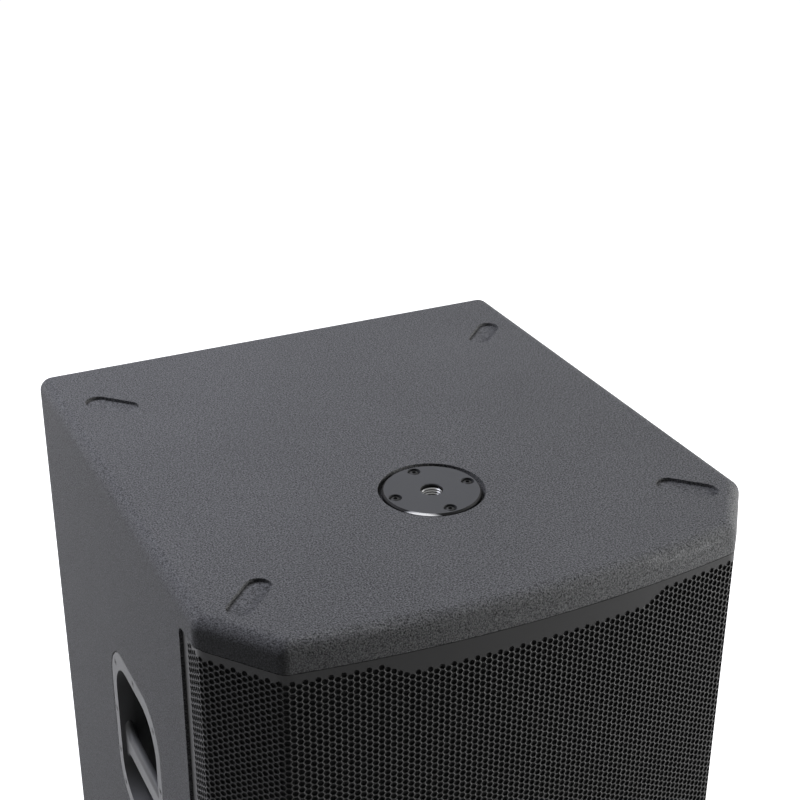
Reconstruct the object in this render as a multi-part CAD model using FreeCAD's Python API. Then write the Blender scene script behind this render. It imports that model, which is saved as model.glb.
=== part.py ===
import FreeCAD, Part
import os
import math

# Powered 18-inch bass cabinet with a pole socket, side bar handles and a wrap-round grille.
# Millimetres. Front faces -Y, +X is to the right seen from the front, +Z up.
# Origin: middle of the footprint, on the surface that the rubber feet stand on.

# ---- driving dimensions ------------------------------------------------------------------
# cabinet shell
cabinet_width = 535.0
cabinet_depth = 585.0
cabinet_height = 617.0
wall = 18.0                  # plywood panels
edge_radius = 12.7           # round-over of the top, bottom and rear edges
corner_radius = 14.0         # upright corners
chamfer_inset = 51.8         # corner chamfer, measured across the front
chamfer_run = 65.5           # corner chamfer, measured along the side
front_bow = 18.0             # rise of the bowed front at its middle
lip_height = 28.2            # face of the lid above the grille
rail_width = 30.0            # battens behind the lips
side_front_setback = 3.0     # front edge of the side panels behind the side corner
baffle_setback = 6.0         # baffle face behind the side panels' front edge

# rubber feet and the stacking recesses that they drop into
foot_height = 10.0
foot_length = 52.0
foot_width = 18.0
foot_seat_gap = 3.0          # room round a foot in a recess
recess_depth = 3.5
foot_side_inset = 52.7       # foot centre from the side
foot_front_inset = 93.9      # foot centre from the front crest
foot_rear_inset = 99.2       # foot centre from the rear face
foot_screw_spacing = 28.0
foot_chamfer = 1.5
foot_screw_head_radius = 4.0
foot_screw_head_height = 3.0
foot_screw_radius = 2.0
foot_screw_length = 16.0
foot_counterbore_depth = 5.0
foot_counterbore_gap = 0.5   # round a screw head

# pole socket
pole_front_inset = 190.0     # socket axis from the front crest
plate_radius = 46.0
plate_thickness = 6.0
plate_ring_gap = 3.85        # ring round the plate
plate_edge_chamfer = 1.0
thread_radius = 8.75         # M20 tapping size
thread_mouth_radius = 10.4
boss_radius = 17.0
boss_length = 30.0
boss_clearance = 0.5
plate_screw_circle = 74.0
plate_screw_count = 4
plate_screw_radius = 3.0
plate_screw_head_radius = 5.2
plate_screw_head_height = 3.0
plate_screw_head_round = 1.2
plate_counterbore_radius = 6.25
plate_counterbore_depth = 3.5
plate_screw_clearance = 0.3
plate_drive_socket = 4.0     # across flats
plate_drive_depth = 1.8
backing_side = 110.0
backing_thickness = 5.0
backing_corner = 8.0

# grille
sheet = 1.5                  # perforated steel
grille_end_gap = 0.6         # crease between the lid and the grille
grille_recess = 2.8          # side flanges below the sides of the cabinet
grille_groove = 1.0          # gap behind the side flange
grille_flange = 37.0         # side flange, from the side corner to the groove
flange_corner = 8.0
flange_gap = 0.3             # between the flange and its rebate
foam_thickness = 6.0
foam_gap = 0.2
foam_end_gap = 0.5           # between the foam and the side panels
grille_screw_inset = 6.5     # from the flange's rear edge
grille_screw_count = 5
grille_screw_first = 43.0    # first screw below the top face
grille_screw_head_radius = 4.2
grille_screw_head_depth = 2.2
grille_screw_radius = 2.0
grille_screw_length = 16.0
screw_hole_gap = 0.1

# side handles: a frame with the grip bar, and a dish behind it
handle_centre_inset = 289.0  # handle centre from the front crest
handle_centre_drop = 288.5   # handle centre below the top face
handle_flange_length = 156.0
handle_flange_height = 193.0
handle_flange_corner = 46.0
handle_flange_thickness = 2.5
handle_flange_round = 1.0
handle_mouth_length = 128.0
handle_mouth_height = 162.0
handle_mouth_corner = 40.0
collar_depth = 16.0
collar_wall = 1.5
collar_gap = 0.2             # between the frame's collar and the dish
dish_lip = 1.5
dish_wall = 1.8
dish_depth = 74.0
dish_fillet = 12.0
handle_cup_gap = 0.4         # between the dish and the cut-out
handle_outline_gap = 0.8     # round the flange
handle_gasket = 1.0
handle_gasket_inset = 1.0    # gasket inside the flange's outline
grip_height = 24.0
grip_thickness = 10.0
grip_setback = 4.5
grip_drop = 26.0             # grip centre below the handle centre
grip_flare = 20.0            # fillets where the grip runs into the collar
grip_round = 4.8
handle_screw_head_radius = 3.6
handle_screw_head_depth = 2.0
handle_screw_radius = 1.6
handle_screw_length = 15.0
handle_side_screw_rises = (12.0, -40.0)
handle_corner_screw_out = 60.5
handle_corner_screw_rise = 75.0

# ports
port_height = 80.0
port_length = 300.0
shelf_thickness = 15.0

# woofer
woofer_margin = 13.0         # basket rim to the port shelf and to the top panel
woofer_side_margin = 19.5    # basket rim to the side panels
woofer_cutout_inset = 18.0   # these four are measured in from the basket's rim
woofer_screw_inset = 10.0
bowl_mouth_inset = 25.0
cone_mouth_inset = 35.0
woofer_screw_count = 8
woofer_screw_radius = 3.0
woofer_screw_head_radius = 4.8
woofer_screw_head_height = 4.0
woofer_screw_length = 24.0
rim_thickness = 6.0
woofer_gasket = 2.0
bowl_wall = 4.0
bowl_base_radius = 95.0
bowl_depth = 112.0
basket_window_width = 52.0
basket_window_count = 8
basket_window_front = 22.0   # window behind the bowl's mouth
basket_window_back = 30.0    # window in front of the bowl's base
spider_plate_thickness = 6.0
magnet_radius = 95.0
magnet_bore = 60.0
magnet_thickness = 26.0
pole_plate_thickness = 8.0
steel_radius = 90.0
back_plate_thickness = 10.0
pole_radius = 37.0
vent_radius = 15.0
coil_inner_radius = 37.6
coil_outer_radius = 38.8
gap_radius = 39.6
coil_length = 52.0
coil_stick_out = 10.0        # coil behind the front plate
cone_neck_radius = 39.0
cone_thickness = 0.6
cone_set_back = 2.0          # cone mouth behind the rim's face
cone_edge = 4.0              # flat edge of the mouth
cone_neck_length = 3.0
surround_gap = 0.4
surround_overlap = 6.0       # roll's outer foot beyond the bowl's mouth
surround_landing = 3.0
surround_thickness = 1.6
surround_steps = 10          # flats round the roll
spider_gap = 0.4
spider_ledge = 5.0           # step that carries the spider
spider_ledge_height = 7.0
spider_thickness = 1.0
spider_wave_height = 3.0
spider_waves = 5
dust_cap_radius = 62.0
dust_cap_rise = 14.0
terminal_size = 14.0
terminal_gap = 0.2

# amplifier
amp_centre_height = 340.0
amp_width = 260.0
amp_height = 400.0
amp_rebate_gap = 1.0
amp_recess = 5.0             # rim face below the rear face
amp_rim = 3.0
amp_gasket = 2.0
amp_gasket_inset = 0.5
amp_bearing = 10.0           # rim that lies on the rear panel, all round
amp_dish_gap = 1.0
amp_dish_wall = 3.0
amp_dish_depth = 22.0
amp_corner = 12.0
amp_screw_inset = 5.5
amp_screw_radius = 2.0
amp_screw_head_radius = 3.8
amp_screw_head_height = 2.4
amp_screw_length = 12.0
amp_screws_across = 4
amp_screws_up = 5
can_wall = 1.5
can_depth = 92.0
can_margin = 3.0
can_corner = 8.0
heatsink_side_gap = 11.0     # to the dish's side walls
heatsink_rise = 8.0          # lower end above the amplifier's centre
heatsink_base = 3.0
fin_height = 14.0
fin_thickness = 2.0
fin_count = 24
heatsink_top_gap = 8.0
board_side_gap = 20.0        # to the edge of the rear panel's opening
board_end_gap = 25.0
board_thickness = 1.6
board_behind_dish = 30.0
standoff_radius = 4.0
standoff_inset = 8.0
capacitor_radius = 11.0
capacitor_height = 24.0
capacitor_pitch = 32.0
capacitor_count = 3
capacitor_first_x = -70.0
capacitor_rise = 120.0       # above the amplifier's centre
choke_width = 14.0
choke_length = 70.0
choke_depth = 18.4
choke_pitch = 20.0
choke_count = 3
choke_first_x = 30.0
choke_rise = 60.0
transformer_radius = 52.0
transformer_bore = 16.0
transformer_height = 44.0
transformer_round = 8.0
transformer_rise = 90.0

# controls, seen from behind
lamp_row_drop = 15.0         # rows below the amplifier's centre
knob_row_drop = 44.0
jack_row_drop = 94.0
mains_row_drop = 154.0
panel_hole_gap = 0.2         # round what passes through the dish floor
knob_radius = 10.0
knob_height = 13.0
knob_round = 1.0
knob_float = 0.8             # knob skirt off the panel
knob_flute_count = 18
knob_flute_radius = 0.8
knob_flute_start = 2.0
pointer_width = 1.2
pointer_depth = 0.6
pointer_start = 2.0          # pointer from the knob's axis
knob_shaft_radius = 3.0
shaft_fit = 0.05             # running fit of shafts and pins
pot_radius = 8.5
pot_depth = 12.0
pot_floor = 2.5
shaft_end_gap = 0.5
bushing_radius = 4.5
bushing_gap = 0.3            # between the bushing and the knob
level_knob_x = -62.0
crossover_knob_x = -18.0
button_radius = 4.4
button_gap = 0.4
button_proud = 4.5
button_round = 0.8
button_stem = 6.0            # button behind the dish floor
button_end_gap = 0.5
button_travel = 2.0
button_body_depth = 12.0
button_body_side = 14.0
polarity_button_x = 26.0
ground_button_x = 66.0
led_radius = 2.5
led_pitch = 16.0
led_count = 4
led_first_x = 20.0
led_proud = 1.0
jack_flange_width = 26.0
jack_flange_height = 31.0
jack_flange_thickness = 2.5
jack_flange_corner = 3.0
jack_body_radius = 12.0
jack_body_depth = 20.0
jack_back_wall = 2.0
input_jack_x = (-72.0, -26.0)
output_jack_x = (26.0, 72.0)
jack_bore_radius = 3.3
pin_hole_radius = 1.4
pin_hole_depth = 10.0
pin_circle_radius = 6.6
output_cup_radius = 9.0
output_cup_floor = 5.0
output_pin_radius = 1.2
output_pin_length = 11.0
output_pin_circle_radius = 4.7
latch_width = 9.0
latch_height = 4.5
latch_length = 10.0
latch_gap = 0.35
latch_travel = 1.8
latch_proud = 0.6            # latch left proud at the end of its travel
latch_wall = 1.35
latch_wall_start = 5.0       # housing of the latch above the jack's axis
latch_rise = 11.6
inlet_x = -58.0
inlet_flange_width = 50.0
inlet_flange_height = 28.0
inlet_flange_thickness = 2.5
inlet_flange_corner = 4.0
inlet_width = 30.0
inlet_height = 22.0
inlet_wall = 2.0
inlet_depth = 24.0
inlet_cavity_depth = 17.0
blade_width = 4.0
blade_thickness = 2.0
blade_spread = 7.0
blade_rise = 4.0             # middle blade above the inlet's axis
blade_drop = 2.0             # outer blades below it
blade_set_back = 4.0         # blade tips inside the mouth
rocker_x = 18.0
rocker_width = 16.8
rocker_half_height = 11.5
rocker_end_rise = 5.5        # face over the pivot, at the ends
rocker_half_rise = 4.0
rocker_middle_rise = 3.6
rocker_root_depth = 4.0      # underside below the pivot
rocker_root_share = 0.7      # underside as a share of the height
rocker_side_gap = 0.5
rocker_pivot_depth = 2.5     # pivot below the dish floor's face
rocker_pin_radius = 1.2
rocker_rest_tilt = 10.0
switch_flange_width = 24.0
switch_flange_height = 32.0
switch_flange_thickness = 2.0
switch_flange_corner = 2.0
switch_window_height = 25.4
switch_depth = 18.0
switch_wall = 1.6

# speaker lead
lead_radius = 3.0
lead_bend = 28.0
lead_gap = 0.1               # round the lead in the can's hole
lead_exit_x = 40.0
lead_exit_drop = 90.0
lead_front_run = 89.0        # straight run at the woofer
lead_back_run = 84.0         # straight run at the amplifier

# cross brace
brace_depth = 18.0
brace_height = 60.0
brace_drop = 45.0            # brace below the top panel
brace_rear_inset = 222.5     # brace's front face from the rear face

# cuts
past = 1.0                   # how far a cut runs past the face that it opens

# ---- places worked out from the sizes -----------------------------------------------------
half_width = cabinet_width / 2
front_y = -cabinet_depth / 2
rear_y = cabinet_depth / 2
z_base = foot_height
z_top = foot_height + cabinet_height
z_middle = (z_base + z_top) / 2
z_under_top = z_top - wall
z_over_bottom = z_base + wall
front_corner = (half_width - chamfer_inset, front_y + front_bow)
side_corner = (half_width, front_y + front_bow + chamfer_run)
bow_radius = (front_corner[0] ** 2 + front_bow ** 2) / (2 * front_bow)
side_front_y = side_corner[1] + side_front_setback
baffle_y = side_front_y + baffle_setback
inner_half = half_width - wall
pole_y = front_y + pole_front_inset
handle_y = front_y + handle_centre_inset
handle_z = z_top - handle_centre_drop
shelf_z = z_over_bottom + port_height
shelf_top = shelf_z + shelf_thickness
woofer_room_up = z_under_top - shelf_top - 2 * woofer_margin
woofer_room_across = 2 * (inner_half - woofer_side_margin)
woofer_radius = min(woofer_room_up, woofer_room_across) / 2
woofer_z = shelf_top + woofer_margin + woofer_radius
cutout_radius = woofer_radius - woofer_cutout_inset
woofer_screw_circle = 2 * (woofer_radius - woofer_screw_inset)
bowl_mouth_radius = woofer_radius - bowl_mouth_inset
cone_mouth_radius = woofer_radius - cone_mouth_inset
flange_end_y = side_corner[1] + grille_flange
groove_end_y = flange_end_y + grille_groove
grille_side_x = half_width - grille_recess
rim_face_y = baffle_y - woofer_gasket - rim_thickness
bowl_mouth_y = rim_face_y + rim_thickness
bowl_base_y = bowl_mouth_y + bowl_depth
spider_plate_back_y = bowl_base_y + spider_plate_thickness
front_plate_back_y = spider_plate_back_y + pole_plate_thickness
magnet_back_y = front_plate_back_y + magnet_thickness
back_plate_y = magnet_back_y + back_plate_thickness
coil_back_y = front_plate_back_y + coil_stick_out
coil_front_y = coil_back_y - coil_length
rim_outer_y = rear_y - amp_recess
rim_inner_y = rim_outer_y - amp_rim
floor_y = rim_outer_y - amp_dish_depth
floor_inner_y = floor_y - amp_dish_wall
can_front_y = floor_inner_y - can_depth
amp_opening_width = amp_width - 2 * amp_bearing
amp_opening_height = amp_height - 2 * amp_bearing
dish_half_width = amp_opening_width / 2 - amp_dish_gap - amp_dish_wall
dish_half_height = amp_opening_height / 2 - amp_dish_gap - amp_dish_wall
heatsink_width = 2 * (dish_half_width - heatsink_side_gap)
heatsink_height = dish_half_height - heatsink_top_gap - heatsink_rise
board_width = amp_opening_width - 2 * board_side_gap
board_height = amp_opening_height - 2 * board_end_gap
lamp_z = amp_centre_height - lamp_row_drop
knob_z = amp_centre_height - knob_row_drop
jack_z = amp_centre_height - jack_row_drop
mains_z = amp_centre_height - mains_row_drop
foot_spots = [(sx * (half_width - foot_side_inset), y)
              for sx in (-1, 1)
              for y in (front_y + foot_front_inset, rear_y - foot_rear_inset)]

# ---- helpers ------------------------------------------------------------------------------


def vec(x, y, z):
    return FreeCAD.Vector(x, y, z)


def block(x0, x1, y0, y1, z0, z1):
    return Part.makeBox(x1 - x0, y1 - y0, z1 - z0, vec(x0, y0, z0))


def rod(radius, start, length, axis):
    return Part.makeCylinder(radius, length, vec(*start), vec(*axis))


def cone(r0, r1, start, length, axis):
    return Part.makeCone(r0, r1, length, vec(*start), vec(*axis))


def joined(shapes):
    result = shapes[0]
    for shape in shapes[1:]:
        result = result.fuse(shape)
    return result.removeSplitter()


def group(shapes):
    return Part.makeCompound(shapes)


def moved(shape, x, y, z):
    copy = shape.copy()
    copy.translate(vec(x, y, z))
    return copy


def mirrored_x(shape):
    return shape.mirror(vec(0, 0, 0), vec(1, 0, 0))


def mirrored_z(shape):
    return shape.mirror(vec(0, 0, z_middle), vec(0, 0, 1))


def edges_where(shape, test):
    return [e for e in shape.Edges if test(e)]


def runs_along(edge, axis):
    if not isinstance(edge.Curve, (Part.Line, Part.LineSegment)):
        return False
    a = edge.Vertexes[0].Point
    b = edge.Vertexes[-1].Point
    d = b.sub(a)
    return abs(abs(d.dot(vec(*axis))) - d.Length) < 1e-6 and d.Length > 1e-6


def save(name, shape):
    if not shape.isValid():
        print("not valid:", name)
    shape.exportStep("parts/" + name + ".step")
    print(name, len(shape.Solids), round(shape.Volume / 1000.0, 1), "cm3")


# ---- cabinet outline ----------------------------------------------------------------------


def corners_inset(inset, recess):
    """Right-hand side corner and front corner of the outline moved in by inset, its sides by recess more."""
    run = vec(front_corner[0] - side_corner[0], front_corner[1] - side_corner[1], 0)
    run.normalize()
    out = vec(-run.y, run.x, 0)
    if out.x < 0:
        out = out.negative()
    anchor = vec(side_corner[0], side_corner[1], 0).sub(out * inset)
    side = anchor.add(run * ((half_width - recess - inset - anchor.x) / run.x))
    centre = vec(0, front_y + bow_radius, 0)
    radius = bow_radius - inset
    to_anchor = anchor.sub(centre)
    b = to_anchor.dot(run)
    c = to_anchor.dot(to_anchor) - radius * radius
    root = math.sqrt(b * b - c)
    ends = [anchor.add(run * t) for t in (-b - root, -b + root)]
    front = min(ends, key=lambda p: abs(p.x - front_corner[0]))
    return side, front


def round_uprights(shape, y, radius):
    """Round the pair of upright edges that stand at y."""
    return shape.makeFillet(radius, edges_where(shape, lambda e: runs_along(e, (0, 0, 1))
                                                and abs(e.Vertexes[0].Y - y) < 1e-3))


def outline_prism(inset, z0, z1, back_y, recess=0):
    """Upright prism on the outline moved in by inset and rounded, cut square at back_y."""
    side, front = corners_inset(inset, recess)
    hw = half_width - recess - inset
    crest = vec(0, front_y + inset, 0)
    left = vec(-front.x, front.y, 0)
    points = [vec(-hw, side.y, 0), vec(-hw, rear_y, 0), vec(hw, rear_y, 0), vec(hw, side.y, 0), front]
    lines = [Part.makeLine(left, points[0])]
    lines += [Part.makeLine(points[i], points[i + 1]) for i in range(4)]
    lines.append(Part.Arc(front, crest, left).toShape())
    face = Part.Face(Part.Wire(lines))
    face.translate(vec(0, 0, z0))
    prism = face.extrude(vec(0, 0, z1 - z0))
    if inset < corner_radius:
        prism = round_uprights(prism, side.y, corner_radius - inset)
        prism = round_uprights(prism, front.y, corner_radius - inset)
    if back_y < rear_y:
        prism = prism.common(block(-half_width, half_width, front_y, back_y, z0, z1))
    return prism


def make_envelope():
    """Outside of the closed box, with all its round-overs."""
    prism = outline_prism(0, z_base, z_top, rear_y)
    prism = round_uprights(prism, rear_y, corner_radius)
    rims = edges_where(prism, lambda e: e.BoundBox.ZLength < 1e-6)
    return prism.makeFillet(edge_radius, rims)


def stadium(length, width, z0, z1, x, y, turn):
    """Upright oblong with round ends, long axis turned from +X."""
    r = width / 2
    half = length / 2 - r
    shape = joined([rod(r, (-half, 0, z0), z1 - z0, (0, 0, 1)),
                    block(-half, half, -r, r, z0, z1),
                    rod(r, (half, 0, z0), z1 - z0, (0, 0, 1))])
    shape.rotate(vec(0, 0, 0), vec(0, 0, 1), turn)
    shape.translate(vec(x, y, 0))
    return shape


def foot_turn(x, y):
    """Feet point at the cabinet's corners."""
    return 45.0 if x * y > 0 else -45.0


def rounded_slab(length, height, corner, x0, x1, y, z):
    """Slab between x0 and x1 with a rounded outline in the YZ plane."""
    slab = block(x0, x1, y - length / 2, y + length / 2, z - height / 2, z + height / 2)
    return slab.makeFillet(corner, edges_where(slab, lambda e: runs_along(e, (1, 0, 0))))


def rounded_plate(width, height, corner, y0, y1, x, z):
    """Slab between y0 and y1 with a rounded outline in the XZ plane."""
    slab = block(x - width / 2, x + width / 2, y0, y1, z - height / 2, z + height / 2)
    return slab.makeFillet(corner, edges_where(slab, lambda e: runs_along(e, (0, 1, 0))))


def turned(profile, x, z):
    """Solid of revolution about an axis along Y; the profile lists radius and y."""
    points = [vec(r, y, 0) for r, y in profile]
    face = Part.Face(Part.makePolygon(points + points[:1]))
    solid = face.revolve(vec(0, 0, 0), vec(0, 1, 0), 360)
    solid.translate(vec(x, 0, z))
    return solid


# ---- cabinet ------------------------------------------------------------------------------


def pole_screw_spots():
    spots = []
    for i in range(plate_screw_count):
        a = 2 * math.pi * i / plate_screw_count
        r = plate_screw_circle / 2
        spots.append((r * math.cos(a), pole_y + r * math.sin(a)))
    return spots


def foot_screw_spots():
    spots = []
    for x, y in foot_spots:
        a = math.radians(foot_turn(x, y))
        for s in (-0.5, 0.5):
            d = s * foot_screw_spacing
            spots.append((x + d * math.cos(a), y + d * math.sin(a)))
    return spots


def make_top_panel(envelope):
    panel = envelope.common(block(-half_width, half_width, front_y, rear_y, z_under_top, z_top))
    ring = plate_radius + plate_ring_gap
    cuts = [rod(ring, (0, pole_y, z_top - plate_thickness), plate_thickness, (0, 0, 1)),
            rod(boss_radius + boss_clearance, (0, pole_y, z_under_top), wall, (0, 0, 1))]
    for x, y in pole_screw_spots():
        cuts.append(rod(plate_screw_radius + plate_screw_clearance, (x, y, z_under_top), wall, (0, 0, 1)))
    for x, y in foot_spots:
        cuts.append(stadium(foot_length + 2 * foot_seat_gap, foot_width + 2 * foot_seat_gap,
                            z_top - recess_depth, z_top, x, y, foot_turn(x, y)))
    return panel.cut(cuts)


def make_bottom_panel(envelope):
    panel = envelope.common(block(-half_width, half_width, front_y, rear_y, z_base, z_over_bottom))
    reach = foot_screw_length + foot_counterbore_depth - foot_height
    holes = [rod(foot_screw_radius + screw_hole_gap, (x, y, z_base), reach, (0, 0, 1))
             for x, y in foot_screw_spots()]
    return panel.cut(holes)


def make_front_rail():
    """Batten under the lid that fills the lip down to the grille's edge."""
    z0 = z_top - lip_height
    outer = outline_prism(0, z0, z_under_top, side_front_y)
    inner = outline_prism(rail_width, z0, z_under_top, side_front_y)
    return outer.cut(inner)


def mouth_slab(grow, x0, x1):
    """Slab with the outline of the handle's mouth, grown all round."""
    return rounded_slab(handle_mouth_length + 2 * grow, handle_mouth_height + 2 * grow,
                        handle_mouth_corner + grow, x0, x1, handle_y, handle_z)


def flange_slab(grow, x0, x1):
    """Slab with the outline of the handle's flange, grown all round."""
    return rounded_slab(handle_flange_length + 2 * grow, handle_flange_height + 2 * grow,
                        handle_flange_corner + grow, x0, x1, handle_y, handle_z)


def handle_cutout(x0, x1):
    return mouth_slab(collar_wall + collar_gap + dish_wall + handle_cup_gap, x0, x1)


def handle_screw_spots():
    out = (handle_flange_length + handle_mouth_length) / 4
    up = (handle_flange_height + handle_mouth_height) / 4
    spots = [(0, up), (0, -up)]
    for sy in (-1, 1):
        spots += [(sy * out, rise) for rise in handle_side_screw_rises]
        spots += [(sy * handle_corner_screw_out, sz * handle_corner_screw_rise) for sz in (-1, 1)]
    return [(handle_y + dy, handle_z + dz) for dy, dz in spots]


def grille_screw_heights():
    first = z_top - grille_screw_first
    span = 2 * (first - z_middle)
    return [first - span * i / (grille_screw_count - 1) for i in range(grille_screw_count)]


def grille_countersink(y, z):
    """Cutter for a grille screw's head, in from the right-hand face."""
    slope = (grille_screw_head_radius - grille_screw_radius) / grille_screw_head_depth
    mouth = grille_screw_head_radius + screw_hole_gap + slope * past
    start = (grille_side_x + past, y, z)
    length = grille_screw_head_depth + past
    return cone(mouth, grille_screw_radius + screw_hole_gap, start, length, (-1, 0, 0))


def make_right_side(envelope):
    panel = envelope.common(block(inner_half, half_width, side_front_y, rear_y, z_over_bottom, z_under_top))
    z0 = z_base + lip_height
    z1 = z_top - lip_height
    rebate = block(inner_half, half_width + past, side_front_y - past, groove_end_y, z0, z1)
    rear_corners = edges_where(rebate, lambda e: runs_along(e, (1, 0, 0)) and e.Vertexes[0].Y > flange_end_y)
    rebate = rebate.makeFillet(flange_corner + grille_groove, rear_corners)
    rebate = rebate.cut(outline_prism(sheet + flange_gap, z0 - past, z1 + past, rear_y, grille_recess))
    seat = handle_flange_thickness + dish_lip + handle_gasket
    cuts = [rebate, handle_cutout(inner_half - past, half_width + past),
            flange_slab(handle_outline_gap, half_width - seat, half_width + past)]
    gap = screw_hole_gap
    inward = (-1, 0, 0)
    for z in grille_screw_heights():
        y = flange_end_y - grille_screw_inset
        cuts.append(grille_countersink(y, z))
        cuts.append(rod(grille_screw_radius + gap, (grille_side_x, y, z), grille_screw_length, inward))
    for y, z in handle_screw_spots():
        cuts.append(rod(handle_screw_radius + gap, (half_width, y, z), handle_screw_length + past, inward))
    return panel.cut(cuts)


def amp_screw_spots():
    hw = amp_width / 2 - amp_screw_inset
    hh = amp_height / 2 - amp_screw_inset
    spots = []
    for i in range(amp_screws_across):
        x = -hw + 2 * hw * i / (amp_screws_across - 1)
        spots += [(x, hh), (x, -hh)]
    for i in range(1, amp_screws_up - 1):
        z = -hh + 2 * hh * i / (amp_screws_up - 1)
        spots += [(hw, z), (-hw, z)]
    return [(x, amp_centre_height + z) for x, z in spots]


def make_rear_panel():
    panel = block(-inner_half, inner_half, rear_y - wall, rear_y, z_over_bottom, z_under_top)
    seat_y = rim_inner_y - amp_gasket
    cuts = [rounded_plate(amp_opening_width, amp_opening_height, amp_corner,
                          rear_y - wall - past, rear_y + past, 0, amp_centre_height),
            rounded_plate(amp_width + 2 * amp_rebate_gap, amp_height + 2 * amp_rebate_gap, amp_corner,
                          seat_y, rear_y + past, 0, amp_centre_height)]
    tip = rim_outer_y - amp_screw_length
    for x, z in amp_screw_spots():
        cuts.append(rod(amp_screw_radius + screw_hole_gap, (x, tip - past, z), amp_screw_length, (0, 1, 0)))
    return panel.cut(cuts)


def woofer_screw_spots():
    spots = []
    for i in range(woofer_screw_count):
        a = 2 * math.pi * (i + 0.5) / woofer_screw_count
        r = woofer_screw_circle / 2
        spots.append((r * math.cos(a), woofer_z + r * math.sin(a)))
    return spots


def make_front_baffle():
    panel = block(-inner_half, inner_half, baffle_y, baffle_y + wall, shelf_top, z_under_top)
    cuts = [rod(cutout_radius, (0, baffle_y - past, woofer_z), wall + 2 * past, (0, 1, 0))]
    for x, z in woofer_screw_spots():
        cuts.append(rod(woofer_screw_radius + screw_hole_gap, (x, baffle_y, z), wall, (0, 1, 0)))
    return panel.cut(cuts)


def make_cabinet():
    envelope = make_envelope()
    save("top_panel", make_top_panel(envelope))
    save("bottom_panel", make_bottom_panel(envelope))
    side = make_right_side(envelope)
    save("right_side_panel", side)
    save("left_side_panel", mirrored_x(side))
    save("rear_panel", make_rear_panel())
    save("front_baffle", make_front_baffle())
    rail = make_front_rail()
    save("top_front_rail", rail)
    save("bottom_front_rail", mirrored_z(rail))
    save("port_shelf", block(-inner_half, inner_half, baffle_y, baffle_y + port_length, shelf_z, shelf_top))
    save("port_divider", block(-shelf_thickness / 2, shelf_thickness / 2, baffle_y, baffle_y + port_length,
                               z_over_bottom, shelf_z))


def make_cross_brace():
    """Bar between the two side panels, above the woofer's magnet."""
    y = rear_y - brace_rear_inset
    top = z_under_top - brace_drop
    save("cross_brace", block(-inner_half, inner_half, y, y + brace_depth, top - brace_height, top))


# ---- feet ---------------------------------------------------------------------------------


def make_feet():
    feet = []
    for x, y in foot_spots:
        foot = stadium(foot_length, foot_width, 0, foot_height, x, y, foot_turn(x, y))
        lower = edges_where(foot, lambda e: e.BoundBox.ZMax < 1e-6)
        feet.append(foot.makeChamfer(foot_chamfer, lower))
    holes = []
    screws = []
    seat = foot_counterbore_depth
    for x, y in foot_screw_spots():
        holes.append(rod(foot_screw_head_radius + foot_counterbore_gap, (x, y, 0), seat, (0, 0, 1)))
        holes.append(rod(foot_screw_radius + screw_hole_gap, (x, y, 0), foot_height, (0, 0, 1)))
        head_z = seat - foot_screw_head_height
        head = rod(foot_screw_head_radius, (x, y, head_z), foot_screw_head_height, (0, 0, 1))
        shank = rod(foot_screw_radius, (x, y, seat), foot_screw_length, (0, 0, 1))
        screws.append(joined([head, shank]))
    save("rubber_feet", group([foot.cut(holes) for foot in feet]))
    save("feet_screws", group(screws))


# ---- pole socket --------------------------------------------------------------------------


def hexagon_prism(x, y, z0, across, height):
    r = across / math.sqrt(3)
    points = [vec(x + r * math.cos(math.radians(60 * i)), y + r * math.sin(math.radians(60 * i)), z0)
              for i in range(6)]
    return Part.Face(Part.makePolygon(points + points[:1])).extrude(vec(0, 0, height))


def make_pole_socket():
    plate = rod(plate_radius, (0, pole_y, z_top - plate_thickness), plate_thickness, (0, 0, 1))
    top_edge = edges_where(plate, lambda e: e.BoundBox.ZMin > z_top - 1e-6)
    plate = plate.makeChamfer(plate_edge_chamfer, top_edge)
    bottom = z_top - plate_thickness - boss_length
    boss = rod(boss_radius, (0, pole_y, bottom), boss_length, (0, 0, 1))
    mouth = thread_mouth_radius - thread_radius
    cuts = [rod(thread_radius, (0, pole_y, bottom), boss_length + plate_thickness, (0, 0, 1)),
            cone(thread_radius, thread_mouth_radius, (0, pole_y, z_top - mouth), mouth, (0, 0, 1))]
    seat = z_top - plate_counterbore_depth
    screws = []
    for x, y in pole_screw_spots():
        cuts.append(rod(plate_counterbore_radius, (x, y, seat), plate_counterbore_depth, (0, 0, 1)))
        cuts.append(rod(plate_screw_radius + plate_screw_clearance, (x, y, bottom),
                        z_top - bottom, (0, 0, 1)))
        head = rod(plate_screw_head_radius, (x, y, seat), plate_screw_head_height, (0, 0, 1))
        crown = edges_where(head, lambda e: e.BoundBox.ZMin > seat + past)
        head = head.makeFillet(plate_screw_head_round, crown)
        length = z_top - z_under_top + backing_thickness - plate_counterbore_depth
        shank = rod(plate_screw_radius, (x, y, seat - length), length, (0, 0, 1))
        socket = hexagon_prism(x, y, seat + plate_screw_head_height - plate_drive_depth,
                               plate_drive_socket, plate_drive_depth + past)
        screws.append(joined([head, shank]).cut(socket))
    save("pole_plate", joined([plate, boss]).cut(cuts))
    save("pole_plate_screws", group(screws))
    half = backing_side / 2
    backing = block(-half, half, pole_y - half, pole_y + half, z_under_top - backing_thickness, z_under_top)
    backing = backing.makeFillet(backing_corner, edges_where(backing, lambda e: runs_along(e, (0, 0, 1))))
    below = z_under_top - backing_thickness - past
    through = backing_thickness + 2 * past
    holes = [rod(boss_radius + boss_clearance, (0, pole_y, below), through, (0, 0, 1))]
    for x, y in pole_screw_spots():
        holes.append(rod(plate_screw_radius + screw_hole_gap, (x, y, below), through, (0, 0, 1)))
    save("pole_plate_backing", backing.cut(holes))


# ---- grille -------------------------------------------------------------------------------


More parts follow.
